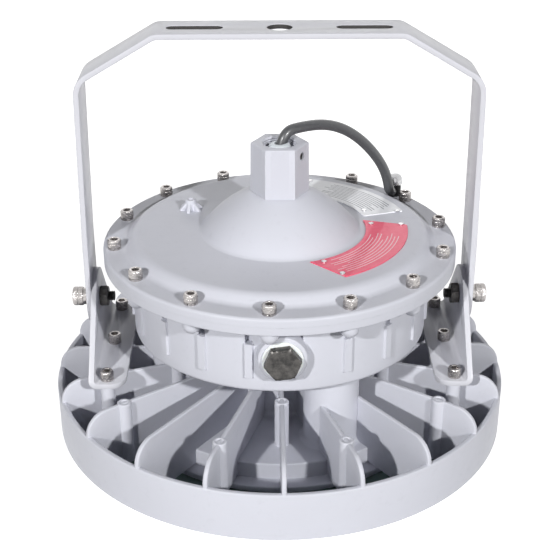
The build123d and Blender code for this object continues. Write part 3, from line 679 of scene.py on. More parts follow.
bowl = bmesh.new()
foot_corners = [(0.0, box_bottom), (box_radius, box_bottom, 3.0 * mm), (box_radius, rib_bottom)]
foot = rounded(foot_corners, closed=False)
rings = [[(0.0, 0.0, box_bottom)]] + [wall_ring(height, "plain", radius) for radius, height in foot[1:-1]]
rings += [
    wall_ring(rib_bottom, "plain"),
    wall_ring(rib_bottom + 0.3 * mm, "rib"),
    wall_ring(rib_top, "rib"),
    wall_ring(rib_top + 0.01 * mm, "pocket"),
    wall_ring(flange_bottom - 2.0 * mm, "pocket"),
    wall_ring(flange_bottom - 0.6 * mm, "pocket", box_radius + 0.5 * mm),
    wall_ring(flange_bottom, "pocket", box_radius + 2.0 * mm),
]
lip = rounded(
    [
        (box_radius + 2.0 * mm, flange_bottom), (flange_radius, flange_bottom, 1.2 * mm),
        (flange_radius, flange_top), (box_inner, flange_top), (box_inner, floor_top, 4.0 * mm),
        (0.0, floor_top),
    ],
    closed=False,
)
rings += [wall_ring(height, "plain", radius) for radius, height in lip[1:-1]]
rings.append([(0.0, 0.0, floor_top)])
skin_rings(bowl, rings)
box_parts = [solid("bowl", bowl, cast_paint)]

screw_circle = 124.45 * mm
screw_azimuth = -4.25
screw_count = 14
nub_radius = 6.5 * mm
nub_middle = flange_bottom - nub_radius / 2
nub_web_half = 4.0 * mm
nub_outline = [(0.0, nub_middle - nub_radius)] + arc_points(0.0, nub_middle, nub_radius, -pi / 2, 0.0, 9)[1:]
nub_outline += [(nub_radius, flange_bottom + 1 * mm), (0.0, flange_bottom + 1 * mm)]
nub = turned("nub", nub_outline, cast_paint, steps=40)
at_screws = {"radius": screw_circle, "first_azimuth": screw_azimuth}
box_parts.append(wheel("screw_bosses", nub, screw_count, cast_paint, **at_screws))
nub_strip = rectangle(box_radius - 1 * mm, -nub_web_half, screw_circle, nub_web_half)
nub_web = plate(
    "nub_web", nub_strip, nub_middle - 0.5 * mm, flange_bottom + 1 * mm, cast_paint, edge=1.0 * mm
)
box_parts.append(wheel("nub_webs", nub_web, screw_count, cast_paint, first_azimuth=screw_azimuth))

plug_height = 109.8 * mm
plug_face = 119.0 * mm
plug_boss = turned(
    "plug_boss",
    [
        (8.1 * mm, box_inner + 2 * mm), (8.1 * mm, plug_face, 0.5 * mm), (17.3 * mm, plug_face, 1.2 * mm),
        (18.2 * mm, box_radius - 4 * mm, 1.0 * mm), (18.2 * mm, box_inner + 2 * mm),
    ],
    cast_paint, steps=96, closed=True, arc=4,
)
facing_front = Matrix.Rotation(radians(90), 4, "X")
box_parts.append(shifted(plug_boss, (0.0, 0.0, plug_height), facing_front))
driver_box = gathered("driver_box_casting", box_parts, cast_paint)
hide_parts("driver_box")
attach(driver_box, "lamp")


# Inside the box, out of sight, are the driver module, the terminal block and the end of the supply cable.
# The first two have moulded plastic housings and stand on the box's floor.
def moulded(name, shade):
    """Moulded plastic with a fine spark-eroded grain."""
    return speckled(name, shade, scaled(shade, 1.12), (1200.0, 2.0, 0.5), (0.2, 0.08 * mm), roughness=0.4)


coat_nodes(moulded("driver_housing", (0.62, 0.62, 0.6, 1.0)), "led_driver")
coat_nodes(moulded("terminal_housing", (0.05, 0.05, 0.055, 1.0)), "terminal_block")


# The stopping plug closes the spare cable entry: a steel hexagon with a chamfered crown, blackened and a
# little stained. It is tightened on a bright white nylon sealing washer.
dark_steel = Finish("blackened_steel", metallic=0.85)
stain = dark_steel.noise(170.0, 6.0, 0.7)
scuff = dark_steel.noise(520.0, 4.0, 0.6)
stained = dark_steel.spread(stain, 0.38, 0.68)
patina = dark_steel.blend(stained, (0.05, 0.049, 0.048, 1.0), (0.15, 0.142, 0.135, 1.0))
dark_steel.connect("Base Color", patina)
dark_steel.connect("Roughness", dark_steel.spread(scuff, 0.3, 0.7, 0.26, 0.55))
dark_steel.connect("Normal", dark_steel.bump(scuff + stain, 0.4, 0.15 * mm))
coat_nodes(dark_steel.material, "grub_screw", "hub_clamp_ring")


def hexagon(flats, turn=0.0):
    """A radius for each angle that makes a hexagon of this width across flats, with a corner at 0."""
    return lambda angle: flats / 2 / cos((angle - radians(turn)) % (pi / 3) - pi / 6)


def crowned(flats, turn=0.0):
    """A hexagon's radius, held inside its chamfer circle."""
    return lambda angle: min(flats / 2 * 1.06, hexagon(flats, turn)(angle))


nylon = speckled(
    "white_nylon", (0.82, 0.82, 0.8, 1.0), (0.92, 0.92, 0.91, 1.0), (120.0, 3.0, 0.5), (0.1, 0.1 * mm),
    roughness=0.32, subsurface_weight=0.1,
)
plug_seat = 120.5 * mm
sealing_washer = turned(
    "sealing_washer",
    [
        (8.3 * mm, plug_face, 0.2 * mm), (14.6 * mm, plug_face, 0.3 * mm), (14.6 * mm, plug_seat, 0.6 * mm),
        (8.3 * mm, plug_seat, 0.2 * mm),
    ],
    nylon, steps=96, closed=True, arc=4,
)
shifted(sealing_washer, (0.0, 0.0, plug_height), facing_front)
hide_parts("plug_washer")
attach(sealing_washer, "lamp")
plug_crown = 126.5 * mm
plug_flats = 23.0 * mm
plug_turn = 8.0
plug = turned(
    "plug",
    [
        (0.0, plug_seat - 13.0 * mm), (8.0 * mm, plug_seat - 13.0 * mm), (8.0 * mm, plug_seat),
        (hexagon(plug_flats, plug_turn), plug_seat), (hexagon(plug_flats, plug_turn), plug_crown - 1.0 * mm),
        (crowned(plug_flats, plug_turn), plug_crown - 0.4 * mm), (plug_flats / 2 * 0.97, plug_crown),
        (plug_flats / 2 * 0.93, plug_crown), (0.0, plug_crown - 0.25 * mm),
    ],
    dark_steel.material, crease=25.0,
)
shifted(plug, (0.0, 0.0, plug_height), facing_front)
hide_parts("stopping_plug")
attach(plug, "lamp")


# The cover is one casting: a flange, a step up to a flat shoulder, a dome in the middle and a hexagonal hub
# with the conduit thread cut inside. A small drilled post on gussets takes the earth wire.
cover_top = 148.9 * mm
plateau = 156.5 * mm
dome_radius = 60.0 * mm
dome_neck = 21.5 * mm
dome_top = 187.0 * mm
dome_curve = 100.0 * mm
hub_flats = 37.0 * mm
hub_top = 225.0 * mm
hub_bore = 12.0 * mm
hub_shoulder = 196.0 * mm
thread_pitch = 1.8 * mm
thread_depth = 0.75 * mm


def cut_by(piece, cutters):
    """Applies boolean cuts to a piece and removes the cutters."""
    for operation, cutter in cutters:
        modifier = piece.modifiers.new("cut", "BOOLEAN")
        modifier.operation = operation
        modifier.solver = "EXACT"
        modifier.object = cutter
    applied(piece)
    for operation, cutter in cutters:
        bpy.data.objects.remove(cutter)


def bulge(start, end, radius, steps):
    """Points on an arc between two points that swells away from the axis."""
    start, end = Vector(start), Vector(end)
    along = end - start
    outwards = Vector((along.y, -along.x)).normalized()
    centre = (start + end) / 2 - outwards * (radius**2 - along.length**2 / 4) ** 0.5
    first = (start - centre).angle_signed(Vector((1.0, 0.0)))
    last = (end - centre).angle_signed(Vector((1.0, 0.0)))
    return arc_points(centre.x, centre.y, radius, first, last, steps)


outline = rounded(
    [
        (box_inner, flange_top), (flange_radius, flange_top), (flange_radius, cover_top, 2.4 * mm),
        (116.5 * mm, cover_top, 7.0 * mm), (109.5 * mm, plateau, 9.0 * mm), (dome_radius + 1.2 * mm, plateau),
    ],
    steps=8, closed=False,
)
dome = bulge((dome_radius, plateau), (dome_neck, dome_top), dome_curve, 20)
outline.append((dome_radius + 0.35 * mm, plateau + 0.25 * mm))
outline += dome[1:]
outline += [
    (hexagon(hub_flats + 0.9 * mm), dome_top + 0.05 * mm), (hexagon(hub_flats), hub_top - 0.9 * mm),
    (lambda angle: hexagon(hub_flats)(angle) - 0.35 * mm, hub_top - 0.3 * mm),
    (lambda angle: hexagon(hub_flats)(angle) - 1.0 * mm, hub_top), (hub_bore + 1.2 * mm, hub_top),
    (hub_bore + thread_depth / 2, hub_top - 0.8 * mm),
]
turns = int((hub_top - hub_shoulder - 3 * mm) / thread_pitch)
for turn in range(turns):
    level = hub_top - 1.2 * mm - turn * thread_pitch
    outline.append((hub_bore, level))
    outline.append((hub_bore + thread_depth, level - thread_pitch / 2))
outline += [
    (hub_bore, hub_shoulder), (6.0 * mm, hub_shoulder), (6.0 * mm, dome_top - 6 * mm),
    (15.5 * mm, dome_top - 6 * mm), (51.0 * mm, plateau - 6 * mm), (box_inner - 3 * mm, plateau - 6 * mm),
]
cover_parts = [turned("cover_shell", outline, cast_paint, steps=240, closed=True, crease=28.0)]
earth_place = Vector((-68.8 * mm, 37.3 * mm, plateau))
post = turned(
    "earth_post",
    [
        (0.0, 1.5 * mm), (2.2 * mm, 1.5 * mm), (2.2 * mm, 8.5 * mm, 0.3 * mm), (4.3 * mm, 8.5 * mm, 0.6 * mm),
        (4.6 * mm, -1.0 * mm),
    ],
    cast_paint, steps=40, arc=3,
)
cover_parts.append(shifted(post, earth_place))
gusset_count = 6
gusset_half = 1.3 * mm
gusset_outline = [
    (0.0, -1 * mm), (9.4 * mm, -1 * mm), (9.0 * mm, 1 * mm), (4.4 * mm, 5.6 * mm), (0.0, 5.6 * mm)
]
for leg in range(gusset_count):
    gusset = plate("gusset", gusset_outline, -gusset_half, gusset_half, cast_paint, edge=0.5 * mm, plane="XZ")
    shifted(gusset, earth_place, Matrix.Rotation(radians(20 + 360 / gusset_count * leg), 4, "Z"))
    cover_parts.append(gusset)
grub_hole = rod("grub_hole", 3.05 * mm, -2 * mm, 10 * mm, cast_paint, steps=40)
grub_azimuth = 60.0
grub_height = 217.0 * mm
facing_out = Matrix.Rotation(radians(grub_azimuth - 90), 4, "Z") @ Matrix.Rotation(radians(90), 4, "Y")
shifted(grub_hole, on_circle(hub_bore, grub_azimuth, grub_height), facing_out)
cut_by(cover_parts[0], [("DIFFERENCE", grub_hole)])
cover = gathered("cover_casting", cover_parts, cast_paint, crease=28.0)
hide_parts("cover")
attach(cover, "lamp")


# Fourteen socket head screws on split spring washers clamp the cover, and six of the same hold the brackets'
# feet. The heads are knurled, with a hexagon socket.


def cap_screw(name, shank, head, height, key, length, ridges=36):
    """A knurled socket head screw, its head's underside at the origin and its threaded shank down."""
    pitch = shank / 3.2
    crests = int(0.4 * length / pitch)

    def knurled(angle):
        return head - 0.24 * mm * (0.5 + 0.5 * cos(ridges * angle))

    thread = []
    for crest in range(crests):
        thread.append((shank - 0.6 * pitch, -length + (crest + 0.1) * pitch))
        thread.append((shank, -length + (crest + 0.6) * pitch))
    return turned(
        name,
        [
            (0.0, -length),
            *thread,
            (shank, 0.0), (head - 0.5 * mm, 0.0), (head - 0.1 * mm, 0.35 * mm), (knurled, 0.7 * mm),
            (knurled, height * 0.46), (head - 0.3 * mm, height * 0.48), (head - 0.3 * mm, height * 0.52),
            (knurled, height * 0.54), (knurled, height - 1.0 * mm), (head - 0.25 * mm, height - 0.55 * mm),
            (head - 0.8 * mm, height), (key / 2 * 1.2, height), (hexagon(key), height - 0.35 * mm),
            (hexagon(key), height * 0.5), (0.0, height * 0.42),
        ],
        zinc_steel, steps=144, crease=30.0,
    )


def split_washer(name, inner, outer, thickness):
    """A spring washer: a square section wound once, with a slanting gap and its ends a little out of line."""
    steps = 60
    gap = radians(9)
    lean = 0.14
    mesh = bmesh.new()
    rings = []
    for step in range(steps + 1):
        share = step / steps
        angle = gap / 2 + (2 * pi - gap) * share
        lift = 0.05 * mm * share
        section = rectangle(inner, lift, outer, thickness - 0.05 * mm + lift)
        turns = [angle + lean * height / thickness for _, height in section]
        rings.append([(r * cos(turn), r * sin(turn), z) for (r, z), turn in zip(section, turns)])
    skin_rings(mesh, rings)
    mesh.verts.ensure_lookup_table()
    for end in (0, steps):
        mesh.faces.new([mesh.verts[end * 4 + corner] for corner in range(4)])
    return solid(name, mesh, zinc_steel)


m6_head, m6_head_height, m6_key, m6_length = 5.0 * mm, 6.0 * mm, 5.0 * mm, 20.0 * mm
m6_spring = 1.6 * mm
cover_screw = cap_screw("cap_screw", 3.0 * mm, m6_head, m6_head_height, m6_key, m6_length)
cover_screws = wheel(
    "cover_cap_screws", cover_screw, screw_count, zinc_steel, height=cover_top + m6_spring, **at_screws
)
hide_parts("cover_screws")
cover_washer = split_washer("washer", 3.1 * mm, 4.9 * mm, m6_spring)
cover_washers = wheel(
    "cover_split_washers", cover_washer, screw_count, zinc_steel, height=cover_top, **at_screws
)
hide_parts("cover_spring_washers")


foot_top = 59.0 * mm
in_two_rows, grid_nodes = copying_tree(
    "stand_in_two_rows",
    {"Width": "Float", "Depth": "Float", "Rows": "Int"},
    {"grid": "GeometryNodeMeshGrid"},
    (
        ("given", "Width", "grid", "Size X"),
        ("given", "Depth", "grid", "Size Y"),
        ("given", "Rows", "grid", "Vertices Y"),
        ("grid", "Mesh", "stand", "Points"),
    ),
)
grid_nodes["grid"].inputs["Vertices X"].default_value = 2
foot_screw = cap_screw("foot_screw", 3.0 * mm, m6_head, m6_head_height, m6_key, m6_length)
foot_places = {"width": 2 * foot_x, "depth": 2 * foot_y, "rows": 3}
bracket_screws = copies(
    "bracket_cap_screws", in_two_rows, zinc_steel, foot_screw, height=foot_top + m6_spring, **foot_places
)
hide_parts("bracket_screws")
foot_washer = split_washer("foot_washer", 3.1 * mm, 4.9 * mm, m6_spring)
bracket_washers = copies(
    "bracket_split_washers", in_two_rows, zinc_steel, foot_washer, height=foot_top, **foot_places
)
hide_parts("bracket_spring_washers")
for piece in (cover_screws, cover_washers, bracket_screws, bracket_washers):
    piece.data.set_sharp_from_angle(angle=radians(30))
    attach(piece, "lamp")


# The gland in the hub is a pale silicone bush with a domed nose, on a washer. A threaded ring squeezes it
# round the cable.
pale_silicone = rubber("pale_silicone", (0.62, 0.66, 0.69, 1.0), 0.35)
cable_radius = 4.0 * mm
bush_radius, nose_radius = 11.9 * mm, 8.4 * mm
bush_bottom, bush_step, nose_top = 197.5 * mm, 203.5 * mm, 224.2 * mm
bush = turned(
    "gland_bush",
    [
        (cable_radius, nose_top, 0.3 * mm), (cable_radius, bush_bottom), (bush_radius, bush_bottom),
        (bush_radius, bush_step), (nose_radius, bush_step), (nose_radius, nose_top, 3.4 * mm),
    ],
    pale_silicone, steps=72, closed=True, arc=8,
)
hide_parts("hub_bush")
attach(bush, "lamp")


# The supply cable leaves the gland, arches over the hub's rim and goes down into a small fitting on the
# flange. It is round, 8 mm across, with a smooth black jacket.
jacket = Finish(
    "black_cable_jacket", roughness=0.32, specular_ior_level=0.6, coat_weight=0.3, coat_roughness=0.2
)
scuffs = jacket.noise(420.0, 4.0, 0.65)
sheen = jacket.noise(70.0, 2.0, 0.5)
scuffed = jacket.spread(scuffs, 0.55, 0.8)
jacket.connect("Base Color", jacket.blend(scuffed, (0.06, 0.062, 0.066, 1.0), (0.10, 0.105, 0.11, 1.0)))
jacket.connect("Roughness", jacket.spread(sheen, 0.3, 0.7, 0.3, 0.42))
jacket.connect("Normal", jacket.bump(scuffs, 0.25, 0.08 * mm))
cable_azimuth = 127.4
cable_stations = [
    (0.0, 208.0), (0.0, 232.2), (26.0, 232.0), (45.5, 228.8), (63.5, 221.0), (80.0, 209.0), (94.0, 195.0),
    (104.3, 181.5), (110.0, 169.5), (112.8, 158.0),
]
cable_points = [on_circle(distance * mm, cable_azimuth, height * mm) for distance, height in cable_stations]
cable_points.append(on_circle(121.3 * mm, 130.2, 153.4 * mm))
cable_curve = bpy.data.curves.new("supply_cable_run", "CURVE")
cable_curve.dimensions = "3D"
spline = cable_curve.splines.new("NURBS")
spline.points.add(len(cable_points) - 1)
for point, place in zip(spline.points, cable_points):
    point.co = (*place, 1.0)
spline.order_u = 3
spline.use_endpoint_u = True
spline.resolution_u = 12
cable_curve.bevel_depth = cable_radius
cable_curve.bevel_resolution = 8
cable_curve.use_fill_caps = True
cable_curve.materials.append(jacket.material)
cable = placed("supply_cable_run", cable_curve)
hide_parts("supply_cable")
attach(cable, "lamp")
coat_nodes(jacket.material, "cable_tail")

fitting = on_circle(126.0 * mm, 131.0, cover_top)
collar_radius, collar_top = 5.5 * mm, 10.0 * mm
neck = turned(
    "fitting_collar",
    [
        (0.0, 0.0), (collar_radius, 0.0, 0.3 * mm), (collar_radius, 7.6 * mm, 0.5 * mm),
        (collar_radius - 0.6 * mm, 8.2 * mm, 0.2 * mm), (collar_radius - 0.6 * mm, collar_top),
        (0.0, collar_top),
    ],
    black_rubber, steps=48, arc=3,
)
shifted(neck, fitting)
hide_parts("fitting_neck")
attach(neck, "lamp")
bright_nickel = zinc("fitting_nickel", (0.62, 0.62, 0.63, 1.0), 0.25)
cap_radius, cap_top = 6.5 * mm, 18.5 * mm
cap = turned(
    "fitting_cap",
    [(0.0, collar_top), (cap_radius, collar_top, 0.4 * mm), (cap_radius, cap_top, 5.6 * mm), (0.0, cap_top)],
    bright_nickel, steps=64, arc=10,
)
shifted(cap, fitting)
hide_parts("fitting_dome")
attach(cap, "lamp")


# Two printed aluminium plates are riveted to the flat shoulder: a red one in front and a white one behind
# it. They carry fields of colour and plain ruled lines.
def curved_plate(name, azimuth, inner, inner_half, outer, outer_half, material):
    """A thin plate between two arcs about the lamp's axis."""
    steps = 40
    middle = radians(azimuth - 90)
    near, far = radians(inner_half), radians(outer_half)
    outline = arc_points(0.0, 0.0, inner, middle - near, middle + near, steps)
    outline += arc_points(0.0, 0.0, outer, middle + far, middle - far, steps)
    return plate(name, outline, plateau, plateau + 0.8 * mm, material, edge=0.15 * mm, segments=1)


def printed(name, ground, ink, azimuth, rows, first_row, row_pitch, row_width, half_span):
    """Enamel print: a field of colour with plain curved rules, faintly uneven as screen printing is."""
    enamel = Finish(name, roughness=0.4, coat_weight=0.3)
    x = enamel.node("ShaderNodeSeparateXYZ", {}, {0: enamel.place()})
    y = Wire(enamel, x.socket.node.outputs["Y"])
    reach = enamel.node("ShaderNodeMath", {"operation": "SQRT"}, {0: x * x + y * y})
    bearing = enamel.node("ShaderNodeMath", {"operation": "ARCTAN2"}, {0: x, 1: y * -1.0}) * (180 / pi)
    row = (reach - first_row) / row_pitch
    phase = enamel.node("ShaderNodeMath", {"operation": "FRACT"}, {0: row})
    line = phase < row_width / row_pitch
    inside = (row > 0.0) * (row < float(rows))
    number = enamel.node("ShaderNodeMath", {"operation": "FLOOR"}, {0: row})
    length = enamel.node("ShaderNodeTexWhiteNoise", {"noise_dimensions": "1D"}, {"W": number})
    off = enamel.node("ShaderNodeMath", {"operation": "ABSOLUTE"}, {0: bearing - azimuth})
    span = off < (length * 0.35 + 0.65) * half_span
    mask = line * inside * span
    haze = enamel.noise(300.0, 4.0, 0.6)
    tint = enamel.blend(enamel.spread(haze, 0.4, 0.8, 0.0, 0.35), ground, scaled(ground, 0.8))
    enamel.connect("Base Color", enamel.blend(mask, tint, ink))
    enamel.connect("Roughness", enamel.spread(haze, 0.3, 0.7, 0.32, 0.5))
    enamel.connect("Normal", enamel.bump(mask, 0.2, 0.03 * mm))
    return enamel.material


red_print = printed(
    "red_print", (0.84, 0.083, 0.163, 1.0), (0.90, 0.70, 0.73, 1.0),
    54.0, 9, 69.0 * mm, 2.6 * mm, 0.55 * mm, 27.0,
)
red_plate = curved_plate("red_sign", 59.4, 65.0 * mm, 41.0, 96.5 * mm, 32.0, red_print)
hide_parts("red_plate")
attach(red_plate, "lamp")
white_print = printed(
    "white_print", (0.86, 0.87, 0.90, 1.0), (0.24, 0.25, 0.28, 1.0),
    133.0, 10, 72.5 * mm, 2.5 * mm, 0.8 * mm, 22.0,
)
white_plate = curved_plate("white_sign", 135.4, 68.0 * mm, 28.5, 100.5 * mm, 28.5, white_print)
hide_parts("data_plate")
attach(white_plate, "lamp")
coat_nodes(zinc("rivet_metal", (0.66, 0.66, 0.67, 1.0), 0.2), "plate_rivets")


# The brackets are bent from 4 mm steel plate: a foot screwed to the casting and an ear that takes the bail's
# bolt. They have a smoother and slightly glossier powder coat than the castings.
steel_paint = powder_coat("steel_powder_coat", (0.62, 0.622, 0.665, 1.0), 0.05 * mm, 0.3 * mm, 0.08, 0.2)
sheet = 4.0 * mm
ear_outer = 142.9 * mm
ear_inner = ear_outer - sheet
foot_inner = 116.0 * mm
foot_half = 65.0 * mm
ear_half = 64.0 * mm
pivot_height = 100.0 * mm
ear_radius = 22.5 * mm
bend_inside = 3.0 * mm
eye_radius = 4.05 * mm
facing_right = Matrix.Rotation(radians(90), 4, "Y")
bracket_screw_hole = 3.3 * mm
foot_corner = 12.0 * mm
past_foot = 3.0 * mm


def bracket(name, side):
    """One bracket. Its strip is bent first, and its outline is then cut from the side."""
    section = rounded(
        [
            (foot_inner, fin_top), (ear_outer, fin_top, bend_inside + sheet - 1 * mm),
            (ear_outer, pivot_height + ear_radius), (ear_inner, pivot_height + ear_radius),
            (ear_inner, foot_top, bend_inside), (foot_inner, foot_top),
        ],
        steps=6,
    )
    strip = plate(name, section, -foot_half, foot_half, steel_paint, plane="XZ")
    lean = Vector((ear_half, foot_top + past_foot)) - Vector((0.0, pivot_height))
    touch = atan2(lean.y, lean.x) + acos(ear_radius / lean.length)
    outline = [(-foot_half, fin_top - 1 * mm), (foot_half, fin_top - 1 * mm)]
    outline += [(foot_half, foot_top + 1 * mm), (ear_half, foot_top + past_foot)]
    outline += arc_points(0.0, pivot_height, ear_radius, touch, pi - touch, 28)
    outline += [(-ear_half, foot_top + past_foot), (-foot_half, foot_top + 1 * mm)]
    side_view = plate("side_view", outline, foot_inner - 5 * mm, ear_outer + 5 * mm, steel_paint, plane="YZ")
    foot_shape = rounded(
        [
            (foot_inner, -foot_half, foot_corner), (ear_outer + 1 * mm, -foot_half),
            (ear_outer + 1 * mm, foot_half), (foot_inner, foot_half, foot_corner),
        ],
        steps=8,
    )
    top_view = plate("top_view", foot_shape, fin_top - 5 * mm, pivot_height + 2 * ear_radius, steel_paint)
    cutters = [("INTERSECT", side_view), ("INTERSECT", top_view)]
    for row in (-1, 0, 1):
        hole = rod("hole", bracket_screw_hole, fin_top - past_foot, foot_top + past_foot, steel_paint)
        cutters.append(("DIFFERENCE", shifted(hole, (foot_x, row * foot_y, 0.0))))
    eye = rod("eye", eye_radius, -10 * mm, 10 * mm, steel_paint)
    cutters.append(("DIFFERENCE", shifted(eye, (ear_inner, 0.0, pivot_height), facing_right)))
    cut_by(strip, cutters)
    return dressed(strip, side, 0.45 * mm)


def dressed(piece, side, edge):
    """Breaks a cut plate's sharp edges and mirrors it for the other side of the lamp."""
    mesh = bmesh.new()
    mesh.from_mesh(piece.data)
    bmesh.ops.remove_doubles(mesh, verts=mesh.verts, dist=2e-5)
    bmesh.ops.dissolve_limit(mesh, angle_limit=radians(1), verts=mesh.verts, edges=mesh.edges)
    sharp = [e for e in mesh.edges if len(e.link_faces) == 2 and e.calc_face_angle(0.0) > radians(45)]
    bevelled(mesh, sharp, edge, 2)
    if side < 0:
        bmesh.ops.transform(mesh, matrix=Matrix.Diagonal((-1.0, 1.0, 1.0, 1.0)), verts=mesh.verts)
        bmesh.ops.reverse_faces(mesh, faces=mesh.faces)
    mesh.to_mesh(piece.data)
    mesh.free()
    smoothed(piece.data, 32.0)
    return piece


for name, node, side in (("right_bracket", "bracket_right", 1), ("left_bracket", "bracket_left", -1)):
    piece = bracket(name, side)
    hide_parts(node)
    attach(piece, "lamp")


# The bail is one flat steel strap, 38 by 4 mm, bent over the lamp. Its top has two slots and a round hole
# for hanging, and its rounded ends turn on the brackets' bolts.
strap_half = 19.0 * mm
strap = 4.0 * mm
bail_top = 310.0 * mm
bail_outer = 147.0 * mm
shoulder_outer = 145.1 * mm
flat_half = 87.5 * mm
slope = radians(30.5)
leg_middle = bail_outer - strap / 2
shoulder_middle = shoulder_outer - strap / 2
top_middle = bail_top - strap / 2
slope_drop = strap / 2 * (1 / cos(slope) - 1)
slope_start = flat_half - slope_drop / tan(slope)
shoulder_height = top_middle - (shoulder_middle - slope_start) * tan(slope)
half_line = [
    (0.0, top_middle), (slope_start, top_middle, 12.0 * mm), (shoulder_middle, shoulder_height, 16.0 * mm),
    (leg_middle, pivot_height + 50.0 * mm, 50.0 * mm), (leg_middle, pivot_height - strap_half),
]
middle_line = rounded(half_line, steps=10, closed=False)
outer_line, inner_line = [], []
for index, (x, z) in enumerate(middle_line):
    before = Vector(middle_line[max(index - 1, 0)])
    after = Vector(middle_line[min(index + 1, len(middle_line) - 1)])
    along = (after - before).normalized()
    outwards = Vector((-along.y, along.x)) * strap / 2
    outer_line.append((x + outwards.x, z + outwards.y))
    inner_line.append((x - outwards.x, z - outwards.y))
outer_line[0], inner_line[0] = (0.0, bail_top), (0.0, bail_top - strap)
profile = outer_line + inner_line[::-1]
profile = profile[:-1] + [(-x, z) for x, z in inner_line[1:]] + [(-x, z) for x, z in outer_line[:0:-1]]
bail = plate("hanging_bail", profile, -strap_half, strap_half, steel_paint, plane="XZ")
past_top = bail_top + 5 * mm
past_side = 160 * mm
end_view = [(strap_half, past_top), (-strap_half, past_top)]
end_view += arc_points(0.0, pivot_height, strap_half, pi, 2 * pi, 24)
ends = plate("ends", end_view, -past_side, past_side, steel_paint, plane="YZ")
slot_length, slot_half, slot_middle = 40.0 * mm, 5.25 * mm, 59.7 * mm


def slot_outline(middle):
    """A slot with round ends, seen from above."""
    reach = slot_length / 2 - slot_half
    right = arc_points(middle + reach, 0.0, slot_half, -pi / 2, pi / 2, 16)
    return right + arc_points(middle - reach, 0.0, slot_half, pi / 2, pi * 3 / 2, 16)


bail_cutters = [("INTERSECT", ends)]
for side in (-1, 1):
    slot = plate("slot", slot_outline(side * slot_middle), bail_top - 10 * mm, past_top, steel_paint)
    bail_cutters.append(("DIFFERENCE", slot))
hole_radius = 9.0 * mm
middle_hole = rod("middle_hole", hole_radius, bail_top - 10 * mm, past_top, steel_paint, steps=64)
bail_cutters.append(("DIFFERENCE", middle_hole))
eyes = rod("eyes", eye_radius, -past_side, past_side, steel_paint)
bail_cutters.append(("DIFFERENCE", shifted(eyes, (0.0, 0.0, pivot_height), facing_right)))
cut_by(bail, bail_cutters)
dressed(bail, 1, 0.5 * mm)
# The walls of the two slots and of the round hole get a near-black finish in place of the strap's pale coat.
# This is painted shade that makes the openings read dark.
slot_shade_finish = speckled(
    "raw_punched_edge", (0.03, 0.03, 0.032, 1.0), (0.075, 0.07, 0.066, 1.0),
    (600.0, 4.0, 0.6), (0.4, 0.1 * mm), metallic=0.6, roughness=0.6,
)
bail.data.materials.append(slot_shade_finish)
near = 0.1 * mm
for face in bail.data.polygons:
    x, y, z = face.center
    inside = z > bail_top - strap and abs(face.normal.z) < 0.3
    in_slot = abs(abs(x) - slot_middle) < slot_length / 2 + near and abs(y) < slot_half + near
    in_hole = x * x + y * y < (hole_radius + near) ** 2
    if inside and (in_slot or in_hole):
        face.material_index = 1
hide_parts("bail")
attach(bail, "bail")


# Each end of the bail is clamped to its bracket's ear by a socket head bolt with a flat washer and a spring
# washer under its head, and a nut inside the ear.
bolt_head, bolt_head_height, bolt_key = 7.3 * mm, 8.0 * mm, 6.6 * mm
flat_thickness, spring_thickness = 2.0 * mm, 2.5 * mm
nut_flats, nut_height = 15.0 * mm, 6.5 * mm
bolt_proud = 4.9 * mm
washer_start = bail_outer + 0.1 * mm
spring_start = washer_start + flat_thickness
head_start = spring_start + spring_thickness
nut_start = ear_inner - nut_height
bolt_length = head_start - nut_start + bolt_proud


def pair(name, part, start, node, material=zinc_steel):
    """Turns an upright part to point out along X at the pivot, and adds its mirror image."""
    shifted(part, (start, 0.0, pivot_height), facing_right)
    other = placed(name + "_other", part.data.copy())
    other.data.transform(Matrix.Diagonal((-1.0, 1.0, 1.0, 1.0)))
    other.data.flip_normals()
    both = gathered(name, [part, other], material, crease=30.0)
    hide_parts(node)
    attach(both, "lamp")
    return both


bolt = cap_screw("bolt", 4.0 * mm, bolt_head, bolt_head_height, bolt_key, bolt_length)
bolts = pair("bail_bolts", bolt, head_start, "pivot_bolts")
bolts.data.materials.append(dark_steel.material)
for face in bolts.data.polygons:
    if abs(face.center.x) < ear_inner:
        face.material_index = 1
spring = split_washer("washer", 4.1 * mm, 6.5 * mm, spring_thickness)
pair("bail_split_washers", spring, spring_start, "pivot_spring_washers")
flat_washer = turned(
    "flat_washer",
    [
        (4.1 * mm, 0.0, 0.2 * mm), (8.4 * mm, 0.0, 0.4 * mm), (8.4 * mm, flat_thickness, 0.5 * mm),
        (4.1 * mm, flat_thickness, 0.2 * mm),
    ],
    zinc_steel, steps=64, closed=True, arc=3,
)
pair("bail_flat_washers", flat_washer, washer_start, "pivot_flat_washers")
nut = turned(
    "nut",
    [
        (4.05 * mm, 0.3 * mm), (4.4 * mm, 0.0), (nut_flats / 2 * 0.96, 0.0), (crowned(nut_flats), 0.5 * mm),
        (hexagon(nut_flats), 0.9 * mm), (hexagon(nut_flats), 5.6 * mm), (crowned(nut_flats), 6.0 * mm),
        (nut_flats / 2 * 0.96, nut_height), (4.4 * mm, nut_height), (4.05 * mm, nut_height - 0.3 * mm),
    ],
    zinc_steel, steps=96, closed=True, crease=25.0,
)
pair("bail_nuts", nut, nut_start, "pivot_nuts", dark_steel.material)


